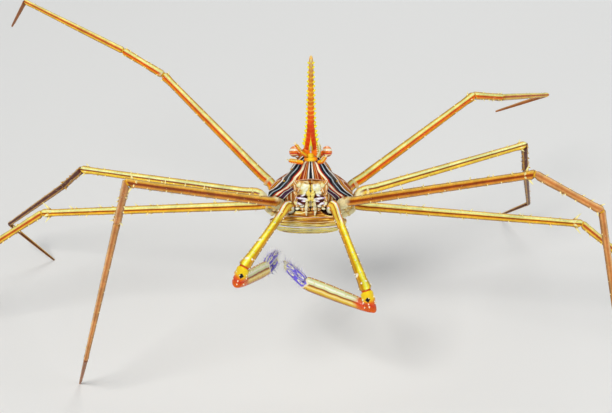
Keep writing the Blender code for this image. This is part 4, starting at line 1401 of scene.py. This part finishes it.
def hand_place(joints, reach):
    """Middle, direction, upper side and inner side of the hand at a reach from the wrist."""
    palm = LENGTHS[1][2]
    first = 2 if reach < palm else 3
    along = (joints[first + 1] - joints[first]).normalized()
    past = reach if first == 2 else reach - palm
    upper = square_to(UP, along)
    return joints[first] + along * past, along, upper, along.cross(upper)


def hand_station(joints, stations, reach):
    """Offset, height and thickness of a palm or finger; the right hand's fingers are the broader ones."""
    broad = 1.0 + (0.3 * smooth_step(11.5, 13.5, reach) if joints[0].x < 0.0 else 0.0)
    return [value * broad for value in station_at(stations, reach)]


def hand_form(form, joints, stations, pace, sides, first_normal=None):
    """Palm or finger along the hand, with low knobs on the biting edge."""
    rings = []
    first, last = stations[0][0], stations[-1][0]
    count = int((last - first) / pace)
    for row in range(count + 1):
        reach = first + (last - first) * row / count
        offset, tall, thick = hand_station(joints, stations, reach)
        point, along, upper, inner = hand_place(joints, reach)
        face, rise = limb_frame(along)
        edge = (1.0 - 0.18 * bump(reach, first, 0.2)) * (1.0 - 0.25 * bump(reach, last, 0.25))
        bite = math.pi if offset > 0 else 0.0
        teeth = 0.1 * max(0.0, math.sin(reach * 7.0)) * smooth_step(12.6, 13.4, reach)
        ring = []
        for turn, cosine, sine in turns(sides):
            size = edge * (1.0 + 0.02 * noise.noise(point * 0.6 + Vector((cosine, sine, 0.0))))
            near = min(abs(turn - bite), abs(turn - bite - 2.0 * math.pi))
            knob = teeth * bump(near, 0.0, 0.7)
            aside = upper * ((tall * size + knob) * cosine) + inner * (thick * size * sine)
            spot = point + upper * offset + aside
            if first_normal is not None:
                fade = 1.0 - smooth_step(0.0, JOINT_REACH, reach)
                pace_out = along.dot(first_normal)
                slip = SHELL_GAP / 2.0 - (spot - joints[2]).dot(first_normal) + pace_out * reach
                spot += along * (fade * slip / pace_out)
            angle = math.atan2(aside.dot(rise), aside.dot(face))
            ring.append(form.add(spot, (math.cos(angle), math.sin(angle), reach)))
        rings.append(ring)
    form.skin(rings, last=hand_place(joints, last)[1] * 0.06)


def claw_materials(colours):
    gold, yellow, brown = colours.gold, colours.yellow, colours.brown
    # lilac is the pale band near the hip; it and the white-yellow line at 14 degrees are partly pigment, partly
    # a painted highlight
    lilac, dark = (0.86, 0.84, 0.88), (0.5, 0.14, 0.01)
    arm = limb_material("crab arm", (
        (-72, (0.3, 0.14, 0.02)), (-56, (0.58, 0.29, 0.03)), (-42, (0.76, 0.4, 0.03)),
        (-26, (0.66, 0.27, 0.004)), (-12, (0.76, 0.5, 0.012)), (-2, yellow), (36, yellow),
        (52, (0.72, 0.55, 0.03)), (68, (0.56, 0.33, 0.03)), (88, brown)),
        ((14, 8, (0.95, 0.95, 0.22), 0.9), (46, 4, colours.amber * 0.9, 0.9), (-50, 4, gold, 0.8)),
        (0.96, 0.95, 0.8), gold * 0.9, granule=(560.0, 0.26, (1.0, 0.98, 0.8), 0.9),
        base=(0.88, 0.86, 0.62), base_reach=0.8, near_stops=(
            (-60, (0.5, 0.2, 0.02)), (-40, (0.9, 0.7, 0.1)), (-16, (0.86, 0.58, 0.04)), (-4, dark), (8, dark),
            (18, lilac), (40, lilac), (54, (0.7, 0.34, 0.05)), (90, brown)))
    return arm, wrist_material(colours), palm_material(colours), finger_material(colours)


def wrist_material(colours):
    """Yellow knuckle with white granules that turns red-orange, with a white far end."""
    tree = new_material("crab wrist", 0.3)
    turn, reach = turn_of(tree)
    orange = colours.orange
    colour = ((reach + tree.wobble(600.0, 1.0)) / 4.0).ramp((
        (0.0, (0.95, 0.68, 0.01)), (0.34, (0.95, 0.62, 0.01)), (0.46, orange), (0.56, colours.red * 1.2),
        (0.72, orange * 0.85), (0.86, orange * 0.95), (0.93, colours.cream), (1.0, orange * 0.9)))
    dots = tree.dots(520.0, 0.36)
    colour = colour.mix((1.0, 0.97, 0.9), dots[0] * 0.95)
    spot = abs((turn + 8.0) / 26.0) + abs((reach - 1.35) / 0.36)
    colour = colour.fade(colours.black, spot, 1.15, 0.85)
    return tree.finish(tree.tips(colour, colours.cream * 1.05, orange * 0.7), tree.skin[1] + dots[1], 0.3)


def palm_material(colours):
    """Pale mint-ivory palm, brown line, gold lower half, red wrist, violet where the fingers start."""
    tree = new_material("crab palm", 0.32, 0.35)
    turn, reach = turn_of(tree)
    wobble = tree.wobble(420.0, 16.0)
    gold, brown, mint = colours.gold, colours.brown, (0.72, 0.79, 0.42)
    colour = (turn + wobble).around((
        (-80, brown * 1.2), (-58, gold * 0.8), (-44, (0.86, 0.58, 0.05)), (-16, (0.86, 0.62, 0.1)),
        (-8, brown * 1.1), (0, brown * 1.1), (8, mint), (46, mint), (58, gold * 0.8), (72, brown * 1.4)))
    colour = colour.lines(turn, ((26, 7, (0.95, 0.96, 0.84), 0.8), (-28, 6, (0.95, 0.8, 0.35), 0.8)), wobble)
    wrist = tree.mix(tree.skin[2].step(0.42, 0.6), colours.red * 1.25, colours.orange * 0.9)
    colour = colour.fade(wrist, reach + wobble * 0.12, 2.9, 1.8, 0.0, 0.9)
    start = reach - abs(turn) * 0.016
    colour = colour.fade(colours.cream * 0.95, start, 10.9, 11.2)
    colour = colour.fade(finger_colour(tree, turn, reach, colours), start + wobble * 0.02, 11.3, 11.6)
    return tree.finish(tree.tips(colour, colours.cream, colours.red * 0.8, 0.5), tree.skin[1])


def finger_colour(tree, turn, reach, colours):
    """Violet with cream edges, a row of long cream ovals along the middle and a cream tip."""
    wobble = tree.wobble(700.0, 0.5)
    centre = turn + wobble * 24.0
    first = (tree.maths("FRACT", (reach + wobble) / OVAL_PERIOD) - 0.5) * (OVAL_PERIOD / OVAL_HALF_LENGTH)
    second = (centre + 2.0) / OVAL_HALF_TURN
    radius = tree.maths("SQRT", first * first + second * second)
    violet = colours.violet
    pale = (0.86, 0.87, 0.6)
    colour = tree.grain(900.0)[2].ramp(((0.3, violet * 0.6), (0.6, violet * 1.2)))
    colour = colour.fade(pale, radius, 0.98, 0.74).fade(violet * 1.1, radius, 0.42, 0.24)
    colour = colour.lines(centre, ((58, 10, pale, 0.9), (-62, 10, pale, 0.8)))
    return colour.fade((0.84, 0.82, 0.5), reach + wobble, 16.7, 17.5)


def finger_material(colours):
    tree = new_material("crab finger", 0.3, 0.35)
    return tree.finish(finger_colour(tree, *turn_of(tree), colours), tree.skin[1])


def build_claws(sizes, colours):
    arm, wrist, palm, finger = claw_materials(colours)
    for side, word in SIDES:
        stem = "leg1_%s_" % word
        joints = leg_joints(1, side)
        hip, knee = joints[:2]
        form = Form()
        merus_limb(form, 1, side, joints, ARM_RADII, sizes)
        rows = (68, 10), (-62, 10), (8, 6), (150, 6), (-150, 6)
        spine_rows(form, hip, knee, ARM_RADII, rows, 0.32, 0.17, spread=(0.12, 0.9))
        rows = [(turn, 1) for turn in (80, 35, -20, -75, 150)]
        spine_rows(form, hip, knee, (ARM_RADII[2] * 0.95,), rows, 0.6, 0.28, spread=(0.9, 0.97))
        make_piece(stem + "merus", form, arm)
        form = Form()
        link_limb(form, joints, 1, WRIST_RADII, 24, 0.3)
        rows = [(turn, 3) for turn in (0, 60, 120, 180, -60, -120)]
        spine_rows(form, joints[1], joints[2], (1.0, 1.03), rows, 0.36, 0.22, spread=(0.15, 0.9))
        joint_ball(form, joints, 1, 0.8)
        make_piece(stem + "carpus", form, wrist)
        form = Form()
        hand_form(form, joints, PALM_STATIONS, 0.25, 28, mitre(joints, 2))
        joint_ball(form, joints, 2, 0.66)
        for turn, count in ((0, 8), (180, 7), (30, 5), (-30, 5)):
            hand_spines(form, joints, turn, count)
        make_piece(stem + "palm", form, palm)
        form = Form()
        hand_form(form, joints, FINGER_STATIONS, 0.2, 24)
        make_piece(stem + "finger", form, finger)


def hand_spot(joints, stations, reach, turn):
    """A point on the skin of a palm or finger, with the directions out and along."""
    offset, tall, thick = hand_station(joints, stations, reach)
    point, along, upper, inner = hand_place(joints, reach)
    angle = math.radians(turn)
    out = (upper * (math.cos(angle) / tall) + inner * (math.sin(angle) / thick)).normalized()
    spot = point + upper * (offset + tall * math.cos(angle)) + inner * (thick * math.sin(angle))
    return spot, out, along


def hand_spines(form, joints, turn, count):
    for index in range(count):
        reach = 1.6 + 9.6 * (index + random.uniform(0.3, 0.7)) / count
        spot, out, along = hand_spot(joints, PALM_STATIONS, reach, turn + random.uniform(-9, 9))
        form.spike(spot - out * 0.04, out + along * 0.6, random.uniform(0.2, 0.34), 0.14,
                   (math.cos(math.radians(turn)), math.sin(math.radians(turn)), reach))


# Legs


def merus_limb(form, number, side, joints, radii_set, sizes):
    """Hip piece and first long segment of a limb, with a collar at each of its short joints."""
    hip, knee = joints[0], joints[1]
    coxa = [body_point(u, v, side * w) for u, v, w in COXAE[number]]
    along = (knee - hip).normalized()
    shoulder = hip + along * SHOULDER[number]
    straight = span_points(shoulder, knee, (3.0, (knee - shoulder).length * 0.5, -JOINT_REACH))
    last = radii_set[2] * 1.1
    path = coxa + [shoulder] + straight + [knee]
    radii = [COXA_RADIUS] + [HIP_RADIUS * 0.94] * (len(coxa) - 1)
    radii += [HIP_RADIUS, radii_set[0], radii_set[1], radii_set[2], last]
    before = sum((path[index + 1] - path[index]).length for index in range(len(coxa)))
    limb(form, path, radii, sizes.limb_sides, sizes.limb_pace, last_normal=mitre(joints, 1),
         collars=(0.0, 0.1), start_reach=-before)
    first = (path[1] - path[0]).normalized()
    collar = path[0].lerp(path[1], 0.75)
    ring_collar(form, collar, first, HIP_RADIUS * 1.02, 0.16)
    ring_collar(form, shoulder + along * 1.2, along, radii_set[0] * 1.04, 0.12)


def ring_collar(form, centre, along, radius, swell):
    """A low raised ring around a limb, where two short segments meet."""
    face, upper = limb_frame(along)
    rings = []
    for shift, size in ((-0.34, 0.9), (-0.22, 1.0), (-0.05, 1.0 + swell * 0.6), (0.1, 1.0 + swell),
                        (0.2, 0.96), (0.26, 0.88)):
        middle = centre + along * shift
        rings.append([form.add(middle + (face * cosine + upper * sine) * (radius * size), (cosine, sine, -0.2))
                      for _, cosine, sine in turns(20)])
    form.skin(rings)


def link_limb(form, joints, index, radii, sides, pace):
    """A segment between two joints, cut to fit both neighbours."""
    start, end = joints[index], joints[index + 1]
    length = (end - start).length
    near = min(JOINT_REACH, length * 0.3)
    path = [start] + span_points(start, end, (near, length * 0.5, -near)) + [end]
    sizes = [radii[0], radii[0] * 1.06, radii[1], radii[2], radii[2]]
    limb(form, path, sizes, sides, pace, mitre(joints, index), mitre(joints, index + 1))


def leg_materials(colours):
    gold, brown, maroon = colours.gold, colours.brown, colours.maroon
    pale, amber, rust = colours.pale, colours.amber, colours.rust
    edge = Vector((0.44, 0.19, 0.012))
    bright = (0.92, 0.62, 0.05)
    made = {}

    def striped(name, stops, lines=(), far=(1.0, 0.92, 0.42), knuckle=gold * 0.9, base=(0.93, 0.86, 0.5),
                rim=edge, base_reach=1.6):
        return limb_material("crab leg " + name, ((-90, rim * 0.7),) + stops + ((90, rim * 0.8),), lines, far,
                             knuckle, 6.0, base=base, base_reach=base_reach)

    # In raised, lined and double, the pale band and the pale line just above the middle (about 10 to 40
    # degrees) are partly pigment, partly a painted highlight
    made["raised"] = striped("raised", (
        (-70, edge), (-54, gold), (-40, (0.84, 0.3, 0.006)), (-28, (0.84, 0.2, 0.003)),
        (-16, (0.84, 0.085, 0.001)), (-4, (0.8, 0.1, 0.002)), (4, (0.8, 0.4, 0.03)), (11, pale),
        (34, pale), (46, (0.78, 0.46, 0.05)), (78, edge)),
        ((22, 5, (0.86, 0.92, 0.46), 0.7), (-9, 3.5, rust * 0.8, 0.85)))
    made["lined"] = striped("lined", (
        (-72, edge), (-56, gold), (-44, bright), (-18, (0.94, 0.66, 0.07)), (-9, rust), (4, rust * 0.4),
        (11, pale), (36, pale), (50, (0.82, 0.5, 0.05)), (80, edge)), ((24, 6, (0.94, 0.95, 0.56), 0.8),))
    made["double"] = striped("double", (
        (-72, edge), (-56, (0.62, 0.28, 0.03)), (-44, bright), (-28, (0.9, 0.5, 0.03)), (-17, amber),
        (-9, rust * 0.7), (0, rust * 0.8), (7, (0.85, 0.6, 0.1)), (14, (0.9, 0.86, 0.24)), (40, pale),
        (54, (0.8, 0.46, 0.05)), (78, edge)), ((28, 6, (0.86, 0.9, 0.46), 0.85),))
    made["tan"] = striped("tan", (
        (-68, (0.3, 0.12, 0.02)), (-50, (0.82, 0.36, 0.03)), (-26, (0.74, 0.25, 0.015)),
        (-12, rust * 0.8), (8, rust * 0.9), (18, (0.82, 0.34, 0.03)), (46, (0.9, 0.6, 0.1)),
        (62, (0.5, 0.22, 0.03))), base_reach=3.6)
    made["tan_end"] = striped("tan end", (
        (-66, (0.4, 0.17, 0.04)), (-30, (0.7, 0.32, 0.1)), (-6, (0.5, 0.17, 0.04)),
        (10, (0.58, 0.22, 0.06)), (40, (0.84, 0.52, 0.22)), (64, (0.45, 0.2, 0.06))), base=None)
    # The pale band at 44 degrees is partly pigment, partly a painted highlight
    made["rosy"] = striped("rosy", (
        (-66, (0.5, 0.2, 0.02)), (-36, bright), (-16, (0.55, 0.1, 0.01)), (6, (0.5, 0.08, 0.01)),
        (16, (0.88, 0.58, 0.12)), (44, pale), (66, (0.62, 0.3, 0.03))), base=None)
    made["dark"] = striped("dark", (
        (-60, (0.3, 0.12, 0.03)), (-40, (0.62, 0.34, 0.06)), (-26, maroon * 0.9), (24, maroon * 0.8),
        (44, (0.7, 0.4, 0.07)), (58, (0.7, 0.34, 0.04))), far=gold, knuckle=maroon * 1.6, base=None,
        rim=maroon * 0.8)
    made["hook"] = striped("hook", ((-40, brown), (10, brown * 0.8), (40, (0.6, 0.28, 0.07))), far=gold,
                           knuckle=maroon * 1.4, base=None)
    return made


def build_leg(number, side, word, sizes, materials):
    joints = leg_joints(number, side)
    stem = "leg%d_%s_" % (number, word)
    skins = [materials[name] for name in LEG_SKINS[number]]
    stout = RAISED_STOUTNESS if number == 5 else 1.0
    thick = [[radius * stout for radius in radii] for radii in (MERUS_RADII, CARPUS_RADII, PROPODUS_RADII)]
    form = Form()
    merus_limb(form, number, side, joints, thick[0], sizes)
    hip, knee, ankle, foot, end = joints
    for turn, count, height in SPINE_ROWS[number]:
        spine_row(form, hip, knee, MERUS_RADII, turn, count, height, 0.19, spread=(0.1, 0.93))
    tall, root = KNEE_SPINES[number]
    for turn, share in ((80, 1.0), (25, 0.6), (-25, 0.55), (-80, 0.95), (150, 0.7), (-150, 0.7)):
        spine_row(form, hip, knee, (MERUS_RADII[2] * 0.92,), turn, 1, tall * share, root, lean=0.55,
                  spread=(0.962, 0.982), jitter=3.0)
    make_piece(stem + "merus", form, skins[0])

    form = Form()
    link_limb(form, joints, 1, thick[1], sizes.limb_sides, sizes.limb_pace)
    joint_ball(form, joints, 1, 0.52)
    rows = (62, 5), (-60, 5), (120, 3), (-120, 3)
    spine_rows(form, knee, ankle, CARPUS_RADII, rows, 0.3 if number == 4 else 0.42, 0.17)
    rows = (70, 1), (-70, 1)
    spine_rows(form, knee, ankle, CARPUS_RADII[2:], rows, tall * 0.6, 0.2, spread=(0.93, 0.96))
    make_piece(stem + "carpus", form, skins[1])

    form = Form()
    link_limb(form, joints, 2, thick[2], sizes.limb_sides, sizes.limb_pace)
    joint_ball(form, joints, 2, 0.46)
    rows = (60, 10), (-60, 10), (140, 7), (-140, 7)
    spine_rows(form, ankle, foot, PROPODUS_RADII, rows, 0.24, 0.12)
    make_piece(stem + "propodus", form, skins[2])

    form = Form()
    path = [foot] + span_points(foot, end, (1.5, (end - foot).length * 0.5, -1.6)) + [end]
    radii = (DACTYLUS_RADII[0],) + DACTYLUS_RADII + (FOOT_RADIUS,)
    floor = Vector((0.0, 0.0, -1.0)) if number != 5 else None
    limb(form, path, radii, 16, sizes.limb_pace * 0.8, mitre(joints, 3), floor, gap=0.0,
         first_gap=SHELL_GAP / 2.0, collars=(0.12, 0.0), last_push=0.0)
    joint_ball(form, joints, 3, 0.34)
    rows = (170, 8), (-150, 6)
    spine_rows(form, foot, end, DACTYLUS_RADII, rows, 0.2, 0.07, lean=0.9, spread=(0.25, 0.85))
    make_piece(stem + "dactylus", form, skins[3])


# Setae


def hair_material(name, low, high):
    tree = new_material(name, 0.45, 0.1)
    colour = tree.mix(tree.tip.step(0.0, 0.8), low, high)
    return tree.finish(colour.toned(tree.skin[2].step(0.3, 0.7, 0.85, 1.1)), tree.skin[1], 0.1)


def random_bend(amount):
    return Vector([random.uniform(-amount, amount) for _ in range(3)])


def tuft(form, root, out, along, length, radius, patch, count, spread):
    """A few setae from one root, fanned a little."""
    for _ in range(count):
        way = out + along * random.uniform(0.1, 0.7) + random_bend(spread)
        form.spike(root, way, length * random.uniform(0.6, 1.15), radius, bend=random_bend(0.12), sides=3,
                   steps=HAIR_STEPS, patch=patch)


def build_claw_hairs(sizes):
    material = hair_material("crab claw setae", (0.6, 0.58, 0.92), (0.97, 0.96, 0.98))
    length = sizes.claw_hair / MM
    rows = ((PALM_STATIONS, 12.4, 18.3, 44), (FINGER_STATIONS, 12.3, 18.5, 60), (PALM_STATIONS, 9.8, 12.2, 10))
    for side, word in SIDES:
        joints = leg_joints(1, side)
        form = Form()
        for tile, (stations, low, high, number) in enumerate(rows):
            for index in range(number):
                reach = low + (high - low) * (index + random.random()) / number
                turn = random.uniform(-75.0, 75.0)
                turn += 180.0 if stations is PALM_STATIONS and index % 4 else 0.0
                spot, out, along = hand_spot(joints, stations, reach, turn)
                patch = ((tile + (turn % 360.0) / 360.0) / 3.0 * 0.98 + 0.01,
                         0.02 + 0.95 * (reach - low) / (high - low))
                short = 0.6 if abs(turn) > 100.0 else 1.0
                tuft(form, spot - out * 0.03, out, along * 0.6, length * short, 0.046 / short ** 0.5, patch, 1,
                     0.22)
        make_piece("leg1_%s_setae" % word, form, material, hairs=True)


def build_limb_hairs(sizes, colours):
    """Short setae on arms and legs, one mesh for each leg."""
    material = hair_material("crab leg setae", colours.gold * 0.8, (0.95, 0.86, 0.7))
    length = sizes.leg_hair / MM
    arm = ((0, ARM_RADII, 46, 0.7),)
    leg = ((0, MERUS_RADII, 80, 1.0), (1, CARPUS_RADII, 20, 1.0), (2, PROPODUS_RADII, 60, 0.9))
    for side, word in SIDES:
        for number in (1, 2, 3, 4, 5):
            joints = leg_joints(number, side)
            form = Form()
            links = arm if number == 1 else leg
            for tile, (index, radii, count, factor) in enumerate(links):
                for _ in range(count):
                    share, turn = random.uniform(0.06, 0.95), random.uniform(0.0, 360.0)
                    radius = radii[0] + (radii[2] - radii[0]) * share
                    point, out, along, _ = on_limb(joints[index], joints[index + 1], share, radius, turn, 0.03)
                    patch = ((tile + turn / 360.0) / len(links) * 0.98 + 0.01, 0.02 + 0.95 * share)
                    tuft(form, point, out, along, length * factor, 0.022, patch, 1, 0.3)
            name = "leg%d_%s_setae" % (number, word) if number > 1 else "arm_%s_setae" % word
            make_piece(name, form, material, hairs=True)


def build_mouth_brushes(colours):
    """Fine brushes along the mouthparts and at the tips of the palps."""
    material = hair_material("crab fringe", colours.ivory * 0.8, (0.92, 0.88, 0.7))
    form = Form()
    along, out = face_axes()
    count = 70
    for index in range(count):
        share = index / (count - 1)
        row = 0.03 + 0.93 * share
        for side, _ in SIDES:
            root = face_point(0.5 + 4.0 * share, side * 0.24, 0.78)
            way = out + Vector((-side * 0.5, 0.0, 0.0))
            tuft(form, root, way, along * -0.6, 0.45, 0.02, (0.25 + 0.2 * side, row), 2, 0.35)
            end = face_point(0.55 + 1.2 * share, side * 0.66, 1.2)
            tuft(form, end, out, along * -1.0, 0.45, 0.018, (0.75 + 0.2 * side, row), 1, 0.5)
    make_piece("mouth_brushes", form, material, hairs=True)


# Stage


def area_light(name, spot, aim, size, power, colour):
    lamp = bpy.data.lights.new(name, "AREA")
    lamp.shape = "DISK"
    lamp.size = size
    lamp.energy = power
    lamp.color = colour
    item = bpy.data.objects.new(name, lamp)
    item.location = spot
    item.rotation_mode = "QUATERNION"
    item.rotation_quaternion = (aim - spot).to_track_quat("-Z", "Y")
    bpy.context.scene.collection.objects.link(item)


def build_stage(sizes, colours):
    """Floor, three soft lights, a pale world and the camera."""
    scene = bpy.context.scene
    work = bmesh.new()
    bmesh.ops.create_grid(work, x_segments=8, y_segments=8, size=2.5)
    mesh = bpy.data.meshes.new("floor")
    work.to_mesh(mesh)
    work.free()
    floor = bpy.data.objects.new("floor", mesh)
    scene.collection.objects.link(floor)
    tree = new_material("pale floor", 0.85, 0.0)
    tree.put(tree.shader.inputs["Base Color"], colours.floor)
    mesh.materials.append(tree.material)
    thorax = (Vector((0.0, 0.0, THORAX_HEIGHT)) + SHIFT) * MM
    power = sizes.light_strength
    area_light("key", thorax + Vector((-0.22, -0.42, 0.5)), thorax, 0.22, power, (1.0, 0.98, 0.94))
    area_light("fill", thorax + Vector((0.45, -0.3, 0.25)), thorax, 0.4, power * 0.35, (0.94, 0.97, 1.0))
    area_light("rim", thorax + Vector((0.1, 0.5, 0.4)), thorax, 0.4, power * 0.5, (1.0, 1.0, 1.0))
    world = bpy.data.worlds.new("studio")
    world.use_nodes = True
    world.node_tree.nodes["Background"].inputs[0].default_value = rgba((0.86, 0.9, 0.95))
    world.node_tree.nodes["Background"].inputs[1].default_value = 0.2
    scene.world = world
    scene.view_settings.view_transform = "Standard"
    lens = bpy.data.cameras.new("camera")
    lens.sensor_width = SENSOR_WIDTH
    lens.lens = SENSOR_WIDTH * LENS_PIXELS / FRAME_PIXELS
    lens.clip_start, lens.clip_end = 0.01, 20.0
    camera = bpy.data.objects.new("camera", lens)
    camera.location = thorax + Vector(CAMERA_FROM_THORAX) * MM
    camera.rotation_euler = (math.radians(CAMERA_TILT), 0.0, 0.0)
    scene.collection.objects.link(camera)
    scene.camera = camera


# Operators and panel


class CrabStep(bpy.types.Operator):
    """One step of dressing the crab."""

    bl_options = {"REGISTER", "UNDO"}


class ARROWCRAB_OT_stage(CrabStep):
    """Adds the floor, the soft lights and the camera."""

    bl_idname = "arrowcrab.stage"
    bl_label = "Stage"

    def execute(self, context):
        build_stage(*settings())
        return {"FINISHED"}


class ARROWCRAB_OT_shell(CrabStep):
    """Builds the striped shell, the sternum and the tail flap."""

    bl_idname = "arrowcrab.shell"
    bl_label = "Shell and tail flap"

    def execute(self, context):
        colours = settings()[1]
        build_shell(colours)
        build_sternum(colours)
        build_abdomen(colours)
        return {"FINISHED"}


class ARROWCRAB_OT_head(CrabStep):
    """Builds the beak, the eyes, the feelers and the mouthparts."""

    bl_idname = "arrowcrab.head"
    bl_label = "Beak, eyes and mouth"

    def execute(self, context):
        colours = settings()[1]
        build_rostrum(colours)
        build_eyes(colours)
        build_feelers(colours)
        build_mouth(colours)
        return {"FINISHED"}


class ARROWCRAB_OT_claws(CrabStep):
    """Builds both claw legs with their violet fingers."""

    bl_idname = "arrowcrab.claws"
    bl_label = "Claws"

    def execute(self, context):
        build_claws(*settings())
        return {"FINISHED"}


class ARROWCRAB_OT_legs(CrabStep):
    """Builds the eight walking legs."""

    bl_idname = "arrowcrab.legs"
    bl_label = "Walking legs"

    def execute(self, context):
        sizes, colours = settings()
        materials = leg_materials(colours)
        for side, word in SIDES:
            for number in (2, 3, 4, 5):
                build_leg(number, side, word, sizes, materials)
        return {"FINISHED"}


class ARROWCRAB_OT_setae(CrabStep):
    """Builds the setae on claws, arms and legs and the brushes of the mouth."""

    bl_idname = "arrowcrab.setae"
    bl_label = "Setae"

    def execute(self, context):
        sizes, colours = settings()
        build_claw_hairs(sizes)
        build_limb_hairs(sizes, colours)
        build_mouth_brushes(colours)
        return {"FINISHED"}


STEPS = (ARROWCRAB_OT_stage, ARROWCRAB_OT_shell, ARROWCRAB_OT_head, ARROWCRAB_OT_claws, ARROWCRAB_OT_legs,
         ARROWCRAB_OT_setae)


class ARROWCRAB_PT_panel(bpy.types.Panel):
    """Sizes, colours and steps of the arrow crab."""

    bl_label = "Arrow crab"
    bl_idname = "ARROWCRAB_PT_panel"
    bl_space_type = "VIEW_3D"
    bl_region_type = "UI"
    bl_category = "Arrow crab"

    def draw(self, context):
        layout = self.layout
        for group in (context.scene.arrow_crab_sizes, context.scene.arrow_crab_colours):
            for name in own_properties(group):
                layout.prop(group, name)
        for step in STEPS:
            layout.operator(step.bl_idname)


CLASSES = (CrabColours, CrabSizes) + STEPS + (ARROWCRAB_PT_panel,)


def register():
    for item in CLASSES:
        bpy.utils.register_class(item)
    bpy.types.Scene.arrow_crab_sizes = bpy.props.PointerProperty(type=CrabSizes)
    bpy.types.Scene.arrow_crab_colours = bpy.props.PointerProperty(type=CrabColours)


def unregister():
    del bpy.types.Scene.arrow_crab_colours
    del bpy.types.Scene.arrow_crab_sizes
    for item in reversed(CLASSES):
        bpy.utils.unregister_class(item)


def main():
    random.seed(SEED)
    register()
    bpy.ops.arrowcrab.stage()
    bpy.ops.arrowcrab.shell()
    bpy.ops.arrowcrab.head()
    bpy.ops.arrowcrab.claws()
    bpy.ops.arrowcrab.legs()
    bpy.ops.arrowcrab.setae()


if __name__ == "__main__":
    main()
